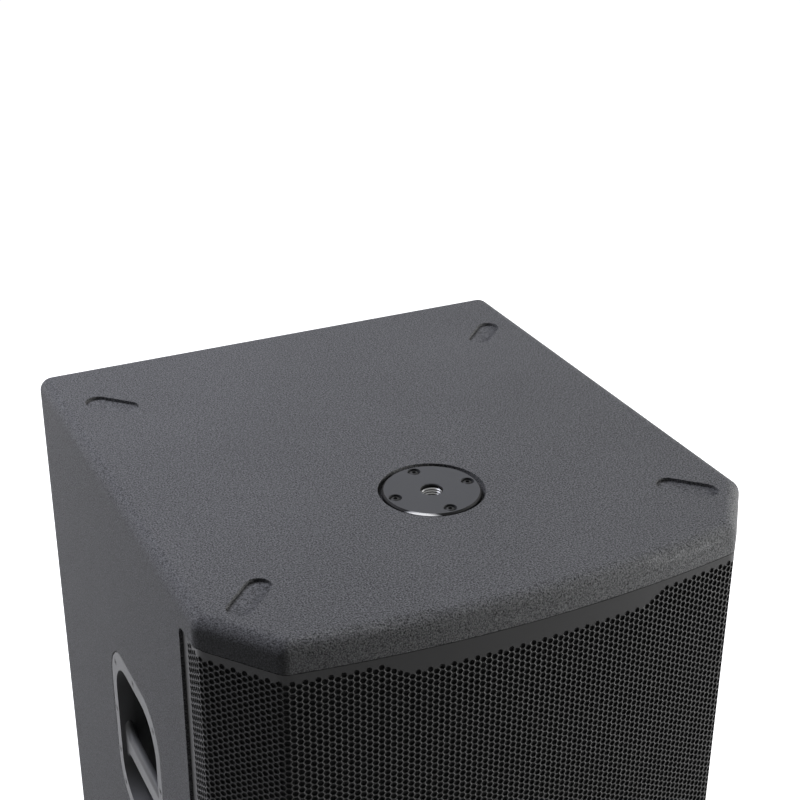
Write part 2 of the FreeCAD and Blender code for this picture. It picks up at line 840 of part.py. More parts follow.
def make_grille():
    z0 = z_base + lip_height + grille_end_gap
    z1 = z_top - lip_height - grille_end_gap
    outer = outline_prism(0, z0, z1, flange_end_y, grille_recess)
    inner = outline_prism(sheet, z0 - past, z1 + past, flange_end_y + past, grille_recess)
    skin = outer.cut(inner)
    flange_corners = edges_where(skin, lambda e: runs_along(e, (1, 0, 0))
                                 and abs(e.Vertexes[0].Y - flange_end_y) < 1e-6)
    skin = skin.makeFillet(flange_corner, flange_corners)
    y = flange_end_y - grille_screw_inset
    half = skin.common(block(0, half_width, front_y, flange_end_y, z0, z1))
    half = half.cut([grille_countersink(y, z) for z in grille_screw_heights()])
    save("grille", joined([half, mirrored_x(half)]))
    screws = []
    for z in grille_screw_heights():
        face = (grille_side_x, y, z)
        head = cone(grille_screw_head_radius, grille_screw_radius, face, grille_screw_head_depth, (-1, 0, 0))
        shank = rod(grille_screw_radius, face, grille_screw_length - past, (-1, 0, 0))
        screw = joined([head, shank])
        screws += [screw, mirrored_x(screw)]
    save("grille_screws", group(screws))
    foam_in = sheet + foam_gap
    foam_end = side_front_y - foam_end_gap
    foam = outline_prism(foam_in, z0, z1, foam_end, grille_recess)
    foam_inner = foam_in + foam_thickness
    foam = foam.cut(outline_prism(foam_inner, z0 - past, z1 + past, foam_end + past, grille_recess))
    save("grille_foam", foam)


# ---- side handles -------------------------------------------------------------------------


def make_grip():
    """Grip bar across the mouth, flared where it runs into the collar."""
    x0 = half_width - grip_setback - grip_thickness
    x1 = half_width - grip_setback
    z = handle_z - grip_drop
    half = handle_mouth_length / 2 + collar_wall / 2
    tall = grip_height / 2 + grip_flare
    grip = block(x0, x1, handle_y - half, handle_y + half, z - tall, z + tall)
    for up in (-1, 1):
        middle = z + up * (grip_height / 2 + 2 * grip_flare)
        slot = rounded_slab(2 * (half + past), 4 * grip_flare, grip_flare,
                            x0 - past, x1 + past, handle_y, middle)
        grip = grip.cut(slot)
    long_edges = edges_where(grip, lambda e: runs_along(e, (0, 1, 0)) and e.Length > handle_mouth_length / 2)
    return grip.makeFillet(grip_round, long_edges).common(mouth_slab(collar_wall / 2, x0, x1))


def make_right_handle():
    flange_x = half_width - handle_flange_thickness
    lip_x = flange_x - dish_lip
    back_x = half_width - dish_depth
    collar_x = half_width - collar_depth
    flange = flange_slab(0, flange_x, half_width)
    outer_edges = edges_where(flange, lambda e: e.BoundBox.XMin > half_width - 1e-6)
    flange = flange.makeFillet(handle_flange_round, outer_edges)
    collar = mouth_slab(collar_wall, collar_x, flange_x)
    lip = flange_slab(0, lip_x, flange_x)
    reach = collar_wall + collar_gap
    tub = mouth_slab(reach + dish_wall, back_x, lip_x)
    room = mouth_slab(reach, back_x + dish_wall, half_width + past)
    floor_edges = edges_where(room, lambda e: e.BoundBox.XMax < back_x + dish_wall + 1e-6)
    room = room.makeFillet(dish_fillet, floor_edges)
    frame_cuts = [mouth_slab(0, collar_x - past, half_width + past)]
    dish_cuts = [room]
    gasket_cuts = [handle_cutout(lip_x - handle_gasket - past, lip_x + past)]
    screws = []
    gap = screw_hole_gap
    for y, z in handle_screw_spots():
        face = (half_width, y, z)
        inward = (-1, 0, 0)
        frame_cuts.append(cone(handle_screw_head_radius + gap, handle_screw_radius + gap, face,
                               handle_screw_head_depth, inward))
        hole = rod(handle_screw_radius + gap, face, handle_screw_length, inward)
        frame_cuts.append(hole)
        dish_cuts.append(hole)
        gasket_cuts.append(hole)
        screws.append(joined([cone(handle_screw_head_radius, handle_screw_radius, face,
                                   handle_screw_head_depth, inward),
                              rod(handle_screw_radius, face, handle_screw_length, inward)]))
    frame = joined([joined([flange, collar]).cut(frame_cuts), make_grip()])
    dish = joined([lip, tub]).cut(dish_cuts)
    gasket = flange_slab(-handle_gasket_inset, lip_x - handle_gasket, lip_x).cut(gasket_cuts)
    return frame, dish, group(screws), gasket


def make_handles():
    frame, dish, screws, gasket = make_right_handle()
    save("right_handle_frame", frame)
    save("right_handle_dish", dish)
    save("left_handle_frame", mirrored_x(frame))
    save("left_handle_dish", mirrored_x(dish))
    save("handle_screws", group([screws, mirrored_x(screws)]))
    save("handle_gaskets", group([gasket, mirrored_x(gasket)]))


# ---- woofer -------------------------------------------------------------------------------


def half_circle(middle, radius):
    """Points of a half circle that rises forwards from the rim's face."""
    angles = [math.pi * i / surround_steps for i in range(surround_steps + 1)]
    return [(middle - radius * math.cos(a), rim_face_y - radius * math.sin(a)) for a in angles]


def terminal_z():
    """Underside of the terminal block on the basket."""
    return woofer_z + bowl_base_radius + bowl_wall + terminal_gap


def ring_y(outer, inner, y0, y1):
    """Flat ring on the woofer's axis."""
    return turned([(inner, y0), (outer, y0), (outer, y1), (inner, y1)], 0, woofer_z)


def make_woofer():
    mouth = bowl_mouth_radius
    base = bowl_base_radius
    rim = ring_y(woofer_radius, mouth, rim_face_y, bowl_mouth_y)
    bowl = turned([(mouth, bowl_mouth_y), (mouth + bowl_wall, bowl_mouth_y), (base + bowl_wall, bowl_base_y),
                   (base + bowl_wall, spider_plate_back_y), (base, spider_plate_back_y), (base, bowl_base_y)],
                  0, woofer_z)
    plate = ring_y(base, magnet_bore, bowl_base_y, spider_plate_back_y)
    ledge = ring_y(base + bowl_wall, base - spider_ledge, bowl_base_y - spider_ledge_height, bowl_base_y)
    windows = []
    for i in range(basket_window_count):
        w = basket_window_width / 2
        slot = block(-w, w, bowl_mouth_y + basket_window_front, bowl_base_y - basket_window_back, base, mouth)
        slot.rotate(vec(0, 0, 0), vec(0, 1, 0), 360.0 * i / basket_window_count)
        windows.append(moved(slot, 0, 0, woofer_z))
    holes = [rod(woofer_screw_radius + 2 * screw_hole_gap, (x, rim_face_y - past, z),
                 rim_thickness + 2 * past, (0, 1, 0))
             for x, z in woofer_screw_spots()]
    save("woofer_basket", joined([rim, bowl, plate, ledge]).cut(windows + holes))
    gasket = ring_y(woofer_radius, cutout_radius, bowl_mouth_y, baffle_y)
    save("woofer_gasket", gasket.cut([moved(h, 0, rim_thickness, 0) for h in holes]))
    screws = []
    for x, z in woofer_screw_spots():
        head = rod(woofer_screw_head_radius, (x, rim_face_y - woofer_screw_head_height, z),
                   woofer_screw_head_height, (0, 1, 0))
        shank = rod(woofer_screw_radius, (x, rim_face_y, z), woofer_screw_length, (0, 1, 0))
        screws.append(joined([head, shank]))
    save("woofer_screws", group(screws))
    save("woofer_front_plate", ring_y(steel_radius, gap_radius, spider_plate_back_y, front_plate_back_y))
    save("woofer_magnet", ring_y(magnet_radius, magnet_bore, front_plate_back_y, magnet_back_y))
    back = ring_y(steel_radius, vent_radius, magnet_back_y, back_plate_y)
    pole = ring_y(pole_radius, vent_radius, spider_plate_back_y, magnet_back_y)
    save("woofer_back_plate", joined([back, pole]))
    save("voice_coil", ring_y(coil_outer_radius, coil_inner_radius, coil_front_y, coil_back_y))
    cone_front_y = rim_face_y + cone_set_back
    t = cone_thickness
    edge = cone_mouth_radius - cone_edge
    save("woofer_cone", turned([(cone_neck_radius, coil_front_y),
                                (cone_neck_radius, coil_front_y + cone_neck_length),
                                (edge, cone_front_y + t), (cone_mouth_radius, cone_front_y + t),
                                (cone_mouth_radius, cone_front_y - t), (edge, cone_front_y - t)],
                               0, woofer_z))
    # the cap's foot stands just clear of the cone's slope
    slope = (cone_front_y - coil_front_y) / (edge - cone_neck_radius)
    foot_y = coil_front_y + slope * (dust_cap_radius - cone_neck_radius) - 2 * t
    cap_radius = (dust_cap_radius ** 2 + dust_cap_rise ** 2) / (2 * dust_cap_rise)
    ball = Part.makeSphere(cap_radius, vec(0, foot_y - dust_cap_rise + cap_radius, woofer_z))
    hollow = Part.makeSphere(cap_radius - t, vec(0, foot_y - dust_cap_rise + cap_radius, woofer_z))
    slab = block(-dust_cap_radius, dust_cap_radius, foot_y - dust_cap_rise - past, foot_y,
                 woofer_z - dust_cap_radius, woofer_z + dust_cap_radius)
    save("dust_cap", ball.cut(hollow).common(slab))
    inner = cone_mouth_radius + surround_gap
    outer = mouth + surround_overlap
    middle = (inner + outer) / 2
    roll = (outer - inner) / 2
    face_y = rim_face_y - surround_thickness
    landing = outer + surround_landing
    arch = half_circle(middle, roll)
    under = half_circle(middle, roll - surround_thickness)
    foot = [(outer, face_y), (landing, face_y), (landing, rim_face_y)]
    save("woofer_surround", turned(arch[:-1] + foot + under, 0, woofer_z))
    r0 = coil_outer_radius + spider_gap
    ledge = base - spider_ledge
    wave_y = bowl_base_y - spider_ledge_height - spider_thickness
    step = (ledge - r0) / (2 * spider_waves)
    top = [(r0 + step * i, wave_y - spider_wave_height * (i % 2)) for i in range(2 * spider_waves + 1)]
    top.append((base, wave_y))
    low = [(r, y + spider_thickness) for r, y in reversed(top)]
    save("woofer_spider", turned(top + low, 0, woofer_z))
    side = terminal_size
    z0 = terminal_z()
    save("woofer_terminal", block(-side, side, bowl_base_y, bowl_base_y + side, z0, z0 + side))


# ---- amplifier ----------------------------------------------------------------------------


def through_floor(radius, x, z):
    return rod(radius, (x, floor_inner_y - past, z), amp_dish_wall + 2 * past, (0, 1, 0))


def window_through_floor(half_x, half_z, x, z):
    return block(x - half_x, x + half_x, floor_inner_y - past, floor_y + past, z - half_z, z + half_z)


def lamp_places():
    return [led_first_x + led_pitch * i for i in range(led_count)]


def latch_housing(x, grow, y0, y1):
    """Block round the room of an input jack's latch."""
    half = latch_width / 2 + latch_gap + latch_wall + grow
    top = latch_rise + latch_height / 2 + latch_gap + latch_wall + grow
    return block(x - half, x + half, y0, y1, jack_z + latch_wall_start, jack_z + top)


def make_amp_dish():
    rim = rounded_plate(amp_width, amp_height, amp_corner - amp_rebate_gap, rim_inner_y, rim_outer_y,
                        0, amp_centre_height)
    width = amp_opening_width - 2 * amp_dish_gap
    height = amp_opening_height - 2 * amp_dish_gap
    tub = rounded_plate(width, height, amp_corner - amp_dish_gap, floor_inner_y, rim_inner_y,
                        0, amp_centre_height)
    pocket = rounded_plate(width - 2 * amp_dish_wall, height - 2 * amp_dish_wall,
                           amp_corner - amp_dish_gap - amp_dish_wall, floor_y, rim_outer_y + past,
                           0, amp_centre_height)
    cuts = [pocket]
    for x, z in amp_screw_spots():
        cuts.append(rod(amp_screw_radius + 2 * screw_hole_gap, (x, rim_inner_y - past, z),
                        amp_rim + 2 * past, (0, 1, 0)))
    gap = panel_hole_gap
    for x in (level_knob_x, crossover_knob_x):
        cuts.append(through_floor(bushing_radius + gap, x, knob_z))
    for x in (polarity_button_x, ground_button_x):
        cuts.append(through_floor(button_radius + button_gap, x, knob_z))
    for x in lamp_places():
        cuts.append(through_floor(led_radius + gap, x, lamp_z))
    for x in input_jack_x + output_jack_x:
        cuts.append(through_floor(jack_body_radius + gap, x, jack_z))
    for x in input_jack_x:
        cuts.append(latch_housing(x, gap, floor_inner_y - past, floor_y + past))
    cuts.append(window_through_floor(inlet_width / 2 + gap, inlet_height / 2 + gap, inlet_x, mains_z))
    cuts.append(window_through_floor(rocker_width / 2 + rocker_side_gap + switch_wall + gap,
                                     switch_window_height / 2 + switch_wall + gap, rocker_x, mains_z))
    save("amp_panel", joined([rim, tub]).cut(cuts))


def make_amp_fixings():
    seat_y = rim_inner_y - amp_gasket
    ring = rounded_plate(amp_width - 2 * amp_gasket_inset, amp_height - 2 * amp_gasket_inset,
                         amp_corner - amp_rebate_gap, seat_y, rim_inner_y, 0, amp_centre_height)
    ring = ring.cut(rounded_plate(amp_opening_width, amp_opening_height, amp_corner,
                                  seat_y - past, rim_inner_y + past, 0, amp_centre_height))
    holes = []
    screws = []
    for x, z in amp_screw_spots():
        holes.append(rod(amp_screw_radius + 2 * screw_hole_gap, (x, seat_y - past, z),
                         amp_gasket + 2 * past, (0, 1, 0)))
        shank = rod(amp_screw_radius, (x, rim_outer_y - amp_screw_length, z), amp_screw_length, (0, 1, 0))
        head = rod(amp_screw_head_radius, (x, rim_outer_y, z), amp_screw_head_height, (0, 1, 0))
        screws.append(joined([shank, head]))
    save("amp_gasket", ring.cut(holes))
    save("amp_screws", group(screws))


def heatsink_z():
    return amp_centre_height + heatsink_rise


def make_heatsink():
    z0 = heatsink_z()
    z1 = z0 + heatsink_height
    half = heatsink_width / 2
    shapes = [block(-half, half, floor_y, floor_y + heatsink_base, z0, z1)]
    pitch = (heatsink_width - fin_thickness) / (fin_count - 1)
    for i in range(fin_count):
        x = -half + pitch * i
        shapes.append(block(x, x + fin_thickness, floor_y, floor_y + heatsink_base + fin_height, z0, z1))
    save("amp_heatsink", joined(shapes))


def make_can():
    """Steel box that closes the electronics off from the air in the cabinet."""
    width = amp_opening_width - 2 * amp_dish_gap - 2 * can_margin
    height = amp_opening_height - 2 * amp_dish_gap - 2 * can_margin
    can = rounded_plate(width, height, can_corner, can_front_y, floor_inner_y, 0, amp_centre_height)
    room = rounded_plate(width - 2 * can_wall, height - 2 * can_wall, can_corner - can_wall,
                         can_front_y + can_wall, floor_inner_y + past, 0, amp_centre_height)
    lead_hole = rod(lead_radius + lead_gap, (lead_exit_x, can_front_y - past, lead_exit_z()),
                    can_wall + 2 * past, (0, 1, 0))
    save("amp_can", can.cut([room, lead_hole]))


def make_board():
    """Circuit board on four standoffs, with its capacitors and chokes."""
    y0 = floor_inner_y - board_behind_dish
    y1 = y0 + board_thickness
    half_x = board_width / 2
    half_z = board_height / 2
    zc = amp_centre_height
    shapes = [block(-half_x, half_x, y0, y1, zc - half_z, zc + half_z)]
    for sx in (-1, 1):
        for sz in (-1, 1):
            x = sx * (half_x - standoff_inset)
            z = zc + sz * (half_z - standoff_inset)
            shapes.append(rod(standoff_radius, (x, y1, z), floor_inner_y - y1, (0, 1, 0)))
    for i in range(capacitor_count):
        x = capacitor_first_x + capacitor_pitch * i
        shapes.append(rod(capacitor_radius, (x, y1, zc + capacitor_rise), capacitor_height, (0, 1, 0)))
    for i in range(choke_count):
        x = choke_first_x + choke_pitch * i
        z = zc + choke_rise
        shapes.append(block(x, x + choke_width, y1, y1 + choke_depth, z, z + choke_length))
    save("amp_board", joined(shapes))


def make_transformer():
    """Ring transformer on the front wall of the can."""
    y0 = can_front_y + can_wall
    z = amp_centre_height + transformer_rise
    ring = rod(transformer_radius, (0, y0, z), transformer_height, (0, 1, 0))
    ring = ring.cut(rod(transformer_bore, (0, y0 - past, z), transformer_height + 2 * past, (0, 1, 0)))
    rims = edges_where(ring, lambda e: e.BoundBox.XLength > 2 * transformer_bore + past
                       and e.BoundBox.YLength < 1e-6)
    save("amp_transformer", ring.makeFillet(transformer_round, rims))


def lead_exit_z():
    return terminal_z() + terminal_size / 2 - lead_exit_drop


def make_speaker_lead():
    start_y = bowl_base_y + terminal_size
    z0 = terminal_z() + terminal_size / 2
    z1 = lead_exit_z()
    end_y = can_front_y + can_wall
    points = [vec(0, start_y, z0), vec(0, start_y + lead_front_run, z0),
              vec(lead_exit_x, end_y - lead_back_run, z1), vec(lead_exit_x, end_y, z1)]
    edges = []
    last = points[0]
    for i in (1, 2):
        before = points[i - 1].sub(points[i])
        after = points[i + 1].sub(points[i])
        before.normalize()
        after.normalize()
        angle = before.getAngle(after)
        run = lead_bend / math.tan(angle / 2)
        into = points[i].add(before * run)
        out = points[i].add(after * run)
        bisector = before.add(after)
        bisector.normalize()
        middle = points[i].add(bisector * (lead_bend / math.sin(angle / 2) - lead_bend))
        edges.append(Part.makeLine(last, into))
        edges.append(Part.Arc(into, middle, out).toShape())
        last = out
    edges.append(Part.makeLine(last, points[3]))
    path = Part.Wire(edges)
    section = Part.Wire(Part.makeCircle(lead_radius, points[0], vec(0, 1, 0)))
    save("speaker_lead", path.makePipeShell([section], True, True))
    print("lead length", round(path.Length, 1))


# ---- controls and sockets on the dish ------------------------------------------------------


def make_knob(x):
    """Knob with its shaft, which turns in the potentiometer's bushing."""
    y0 = floor_y + knob_float
    y1 = y0 + knob_height
    body = rod(knob_radius, (x, y0, knob_z), knob_height, (0, 1, 0))
    body = body.makeFillet(knob_round, edges_where(body, lambda e: e.BoundBox.YMin > y1 - 1e-6))
    cuts = [block(x - pointer_width / 2, x + pointer_width / 2, y1 - pointer_depth, y1 + past,
                  knob_z + pointer_start, knob_z + knob_radius)]
    for i in range(knob_flute_count):
        a = 2 * math.pi * i / knob_flute_count
        cuts.append(rod(knob_flute_radius, (x + knob_radius * math.cos(a), y0 + knob_flute_start,
                                            knob_z + knob_radius * math.sin(a)), knob_height, (0, 1, 0)))
    shaft_y = floor_inner_y - pot_depth + pot_floor + shaft_end_gap
    shaft = rod(knob_shaft_radius, (x, shaft_y, knob_z), y0 + past - shaft_y, (0, 1, 0))
    return joined([body.cut(cuts), shaft])


def make_pot(x):
    """Potentiometer behind the dish floor, with its bushing through the floor."""
    back_y = floor_inner_y - pot_depth
    body = rod(pot_radius, (x, back_y, knob_z), pot_depth, (0, 1, 0))
    bushing = rod(bushing_radius, (x, floor_inner_y, knob_z),
                  amp_dish_wall + knob_float - bushing_gap, (0, 1, 0))
    bore = rod(knob_shaft_radius + shaft_fit, (x, back_y + pot_floor, knob_z),
               pot_depth + amp_dish_wall + knob_float, (0, 1, 0))
    return joined([body, bushing]).cut(bore)


def make_push_button(x):
    front_y = floor_y + button_proud
    length = button_proud + amp_dish_wall + button_stem
    button = rod(button_radius, (x, front_y - length, knob_z), length, (0, 1, 0))
    return button.makeFillet(button_round, edges_where(button, lambda e: e.BoundBox.YMin > front_y - 1e-6))


def make_push_switch(x):
    half = button_body_side / 2
    body = block(x - half, x + half, floor_inner_y - button_body_depth, floor_inner_y,
                 knob_z - half, knob_z + half)
    depth = button_stem + button_travel + button_end_gap
    room = rod(button_radius + button_gap, (x, floor_inner_y - depth, knob_z), depth + past, (0, 1, 0))
    return body.cut(room)


def latch_room(x, grow, y0, y1):
    z = jack_z + latch_rise
    return block(x - latch_width / 2 - grow, x + latch_width / 2 + grow, y0, y1,
                 z - latch_height / 2 - grow, z + latch_height / 2 + grow)


def jack_shell(x):
    """Flange and round body that both kinds of signal socket have."""
    face_y = floor_y + jack_flange_thickness
    flange = rounded_plate(jack_flange_width, jack_flange_height, jack_flange_corner,
                           floor_y, face_y, x, jack_z)
    body = rod(jack_body_radius, (x, floor_y - jack_body_depth, jack_z), jack_body_depth, (0, 1, 0))
    return joined([flange, body])


def three_pins(radius, circle, x, y, length):
    """Three rods at 120 degrees, one of them straight below the socket's axis."""
    pins = []
    for i in range(3):
        a = math.radians(90 + 120 * i)
        start = (x + circle * math.cos(a), y, jack_z - circle * math.sin(a))
        pins.append(rod(radius, start, length, (0, 1, 0)))
    return pins


def make_input_jack(x):
    face_y = floor_y + jack_flange_thickness
    bore_y = floor_y - jack_body_depth + jack_back_wall
    room_y = face_y - latch_length - latch_travel
    shell = joined([jack_shell(x), latch_housing(x, 0, room_y - latch_wall, floor_y)])
    cuts = [rod(jack_bore_radius, (x, bore_y, jack_z), face_y + past - bore_y, (0, 1, 0)),
            latch_room(x, latch_gap, room_y, face_y + past)]
    cuts += three_pins(pin_hole_radius, pin_circle_radius, x, face_y - pin_hole_depth, pin_hole_depth + past)
    return shell.cut(cuts)


def make_latch(x):
    y1 = floor_y + jack_flange_thickness + latch_travel + latch_proud
    return latch_room(x, 0, y1 - latch_length, y1)


def make_output_jack(x):
    cup_y = floor_y - jack_body_depth + output_cup_floor
    cup_depth = jack_body_depth - output_cup_floor + jack_flange_thickness
    cup = rod(output_cup_radius, (x, cup_y, jack_z), cup_depth + past, (0, 1, 0))
    pins = three_pins(output_pin_radius, output_pin_circle_radius, x, cup_y - past, output_pin_length + past)
    return joined([jack_shell(x).cut(cup)] + pins)


def make_mains_inlet():
    x = inlet_x
    z = mains_z
    face_y = floor_y + inlet_flange_thickness
    room_y = floor_y - inlet_cavity_depth
    flange = rounded_plate(inlet_flange_width, inlet_flange_height, inlet_flange_corner,
                           floor_y, face_y, x, z)
    body = block(x - inlet_width / 2, x + inlet_width / 2, floor_y - inlet_depth, floor_y,
                 z - inlet_height / 2, z + inlet_height / 2)
    half_x = inlet_width / 2 - inlet_wall
    half_z = inlet_height / 2 - inlet_wall
    room = block(x - half_x, x + half_x, room_y, face_y + past, z - half_z, z + half_z)
    shapes = [joined([flange, body]).cut(room)]
    for dx, dz in ((-blade_spread, -blade_drop), (0, blade_rise), (blade_spread, -blade_drop)):
        shapes.append(block(x + dx - blade_thickness / 2, x + dx + blade_thickness / 2, room_y - past,
                            floor_y - blade_set_back, z + dz - blade_width / 2, z + dz + blade_width / 2))
    return joined(shapes)


def make_switch_body():
    """Housing of the mains switch, which holds the rocker's pin."""
    x = rocker_x
    half_x = rocker_width / 2 + rocker_side_gap
    half_z = switch_window_height / 2
    out_x = half_x + switch_wall
    out_z = half_z + switch_wall
    face_y = floor_y + switch_flange_thickness
    back_y = floor_y - switch_depth
    flange = rounded_plate(switch_flange_width, switch_flange_height, switch_flange_corner,
                           floor_y, face_y, x, mains_z)
    body = block(x - out_x, x + out_x, back_y, floor_y, mains_z - out_z, mains_z + out_z)
    room = block(x - half_x, x + half_x, back_y + switch_wall, face_y + past,
                 mains_z - half_z, mains_z + half_z)
    pin_hole = rod(rocker_pin_radius + shaft_fit, (x - out_x - past, floor_y - rocker_pivot_depth, mains_z),
                   2 * (out_x + past), (1, 0, 0))
    return joined([flange, body]).cut([room, pin_hole])


def make_rocker():
    """Paddle on a pin, drawn level and then tilted to its rest position."""
    y = floor_y - rocker_pivot_depth
    h = rocker_half_height
    root = h * rocker_root_share
    profile = [(-h, rocker_end_rise), (-h / 2, rocker_half_rise), (0, rocker_middle_rise),
               (h / 2, rocker_half_rise), (h, rocker_end_rise),
               (root, -rocker_root_depth), (-root, -rocker_root_depth)]
    half = rocker_width / 2
    points = [vec(rocker_x - half, y + dy, mains_z + dz) for dz, dy in profile]
    paddle = Part.Face(Part.makePolygon(points + points[:1])).extrude(vec(rocker_width, 0, 0))
    reach = half + rocker_side_gap + switch_wall
    pin = rod(rocker_pin_radius, (rocker_x - reach, y, mains_z), 2 * reach, (1, 0, 0))
    rocker = joined([paddle, pin])
    rocker.rotate(vec(rocker_x, y, mains_z), vec(1, 0, 0), -rocker_rest_tilt)
    return rocker


def make_lamp(x):
    return rod(led_radius, (x, floor_inner_y, lamp_z), amp_dish_wall + led_proud, (0, 1, 0))


def make_controls():
    save("level_knob", make_knob(level_knob_x))
    save("crossover_knob", make_knob(crossover_knob_x))
    save("potentiometers", group([make_pot(level_knob_x), make_pot(crossover_knob_x)]))
    save("polarity_button", make_push_button(polarity_button_x))
    save("ground_lift_button", make_push_button(ground_button_x))
    save("push_switches", group([make_push_switch(polarity_button_x), make_push_switch(ground_button_x)]))
    save("status_lamps", group([make_lamp(x) for x in lamp_places()]))
    save("input_jack_a", make_input_jack(input_jack_x[0]))
    save("input_jack_b", make_input_jack(input_jack_x[1]))
    save("input_latch_a", make_latch(input_jack_x[0]))
    save("input_latch_b", make_latch(input_jack_x[1]))
    save("output_jacks", group([make_output_jack(x) for x in output_jack_x]))
    save("mains_inlet", make_mains_inlet())
    save("power_switch_housing", make_switch_body())
    save("power_rocker", make_rocker())


# ---- build --------------------------------------------------------------------------------

os.makedirs("parts", exist_ok=True)
make_cabinet()
make_cross_brace()
make_feet()
make_pole_socket()
make_grille()
make_handles()
make_woofer()
make_amp_dish()
make_amp_fixings()
make_heatsink()
make_can()
make_board()
make_transformer()
make_speaker_lead()
make_controls()
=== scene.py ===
# %% [markdown]
# # Dressing a PA bass cabinet
# The cabinet arrives from the CAD model as sixty plain nodes in one shared frame, in metres,
# with +Z up and the grille facing -Y. This notebook gives them their finishes and replaces the few
# whose real form needs finer work than a solid has: the perforated grille, the threaded pole
# socket and the screws. The printed scales and the lines on the knobs are added last.

# %% Load the frame
import math

import bmesh
import bpy
from mathutils import Matrix, Vector


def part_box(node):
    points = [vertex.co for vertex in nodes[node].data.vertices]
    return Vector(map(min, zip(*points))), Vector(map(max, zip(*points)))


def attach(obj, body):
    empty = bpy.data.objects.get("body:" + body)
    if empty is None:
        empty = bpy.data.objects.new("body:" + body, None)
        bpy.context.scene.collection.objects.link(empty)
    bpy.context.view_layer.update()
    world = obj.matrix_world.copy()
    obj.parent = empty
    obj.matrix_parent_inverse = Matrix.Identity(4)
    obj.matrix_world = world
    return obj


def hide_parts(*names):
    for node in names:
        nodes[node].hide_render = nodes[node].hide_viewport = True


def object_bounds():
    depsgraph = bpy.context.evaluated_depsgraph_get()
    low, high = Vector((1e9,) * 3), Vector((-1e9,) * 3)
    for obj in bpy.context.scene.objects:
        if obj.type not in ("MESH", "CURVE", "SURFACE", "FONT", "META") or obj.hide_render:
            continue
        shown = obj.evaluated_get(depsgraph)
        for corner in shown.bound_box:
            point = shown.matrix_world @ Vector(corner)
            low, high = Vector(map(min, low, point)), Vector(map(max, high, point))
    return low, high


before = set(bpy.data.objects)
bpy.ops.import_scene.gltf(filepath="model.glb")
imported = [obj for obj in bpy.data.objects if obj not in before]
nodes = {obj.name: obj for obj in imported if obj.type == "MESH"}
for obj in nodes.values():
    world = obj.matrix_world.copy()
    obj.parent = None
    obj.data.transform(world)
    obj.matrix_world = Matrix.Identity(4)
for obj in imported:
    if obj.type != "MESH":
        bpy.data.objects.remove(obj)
cad_low, cad_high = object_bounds()
scene = bpy.context.scene
scene.view_settings.view_transform = "Standard"
print("CAD nodes:", len(nodes), "box:", [round(v, 4) for v in (*cad_low, *cad_high)])

# %% [markdown]
# ## The camera
# The view looks down on one front corner from above, close enough for the lid to fill the frame, so
# that the pole socket and the grille both show. The camera is placed by its three axes rather than
# by angles: the direction it looks along, and the direction that is down in the view, fix it.

# %% Place the camera
look = Vector((0.39244, 0.80844, -0.43865)).normalized()
down = Vector((-0.18594, -0.39733, -0.89864))
side = down.cross(look).normalized()
up = side.cross(look).normalized()
camera_place = Vector((-0.5712, -1.2114, 1.3265))
camera = bpy.data.objects.new("studio_camera", bpy.data.cameras.new("studio_camera"))
camera.data.sensor_width = 36.0
camera.data.lens = 70.06
turn = Matrix((side, up, -look)).transposed().to_4x4()
camera.matrix_world = Matrix.Translation(camera_place) @ turn
scene.collection.objects.link(camera)
scene.camera = camera
print("camera looks along", [round(v, 3) for v in look], "lens", camera.data.lens)

# %% [markdown]
# ## Sums in a node tree
# Blender's materials and Geometry Nodes do their sums with one small node for each plus or times.
# Linked one by one in Python, those nodes hide the formula they stand for. The class below wraps a
# socket, so that ordinary operators add the nodes, and a formula reads as it would on paper.

# %% Nodes and fields
class Field:
    """A value in a node tree. Reckoning with it adds a math node to that tree."""

    def __init__(self, socket):
        self.socket = socket
        self.tree = socket.id_data

    def __add__(self, other):
        return calc("ADD", self, other)

    def __sub__(self, other):
        return calc("SUBTRACT", self, other)

    def __rsub__(self, other):
        return calc("SUBTRACT", other, self)

    def __mul__(self, other):
        return calc("MULTIPLY", self, other)

    def __truediv__(self, other):
        return calc("DIVIDE", self, other)


def feed(node, inputs):
    """Feed a node's inputs, by name or number, with fields, sockets or constants."""
    for key, value in inputs.items():
        if isinstance(value, Field):
            value = value.socket
        if isinstance(value, bpy.types.NodeSocket):
            node.id_data.links.new(value, node.inputs[key])
        else:
            node.inputs[key].default_value = value


def add_node(tree, kind, inputs=(), **settings):
    """A new node with these settings and inputs, drawn to the right of the last one."""
    node = tree.nodes.new(kind)
    node.location.x = 180 * len(tree.nodes)
    for key, value in settings.items():
        setattr(node, key, value)
    feed(node, dict(inputs))
    return node


def field(tree, kind, inputs=(), output=0, **settings):
    """One output of a new node, as a field."""
    return Field(add_node(tree, kind, inputs, **settings).outputs[output])


def calc(operation, *values):
    """A math node fed with fields and numbers, as a field."""
    tree = next(value.tree for value in values if isinstance(value, Field))
    return field(tree, "ShaderNodeMath", enumerate(values), operation=operation)


def split(vector):
    """The three parts of a vector field."""
    return [Field(part) for part in add_node(vector.tree, "ShaderNodeSeparateXYZ", {0: vector}).outputs]


def mix_colours(tree, factor, a, b):
    """A colour that runs from a to b as the factor rises."""
    return field(tree, "ShaderNodeMix", {0: factor, 6: a, 7: b}, output=2, data_type="RGBA")


def new_group(name, kind, inputs, outputs):
    """A node group with named sockets: the group, its inputs as fields, and its output node."""
    tree = bpy.data.node_groups.new(name, kind)
    for label, socket_kind, value in inputs:
        socket = tree.interface.new_socket(name=label, in_out="INPUT", socket_type=socket_kind)
        if value is not None:
            socket.default_value = value
    for label, socket_kind in outputs:
        tree.interface.new_socket(name=label, in_out="OUTPUT", socket_type=socket_kind)
    entry = add_node(tree, "NodeGroupInput")
    given = {label: Field(entry.outputs[label]) for label, _, _ in inputs}
    return tree, given, add_node(tree, "NodeGroupOutput")


print("node helpers ready")

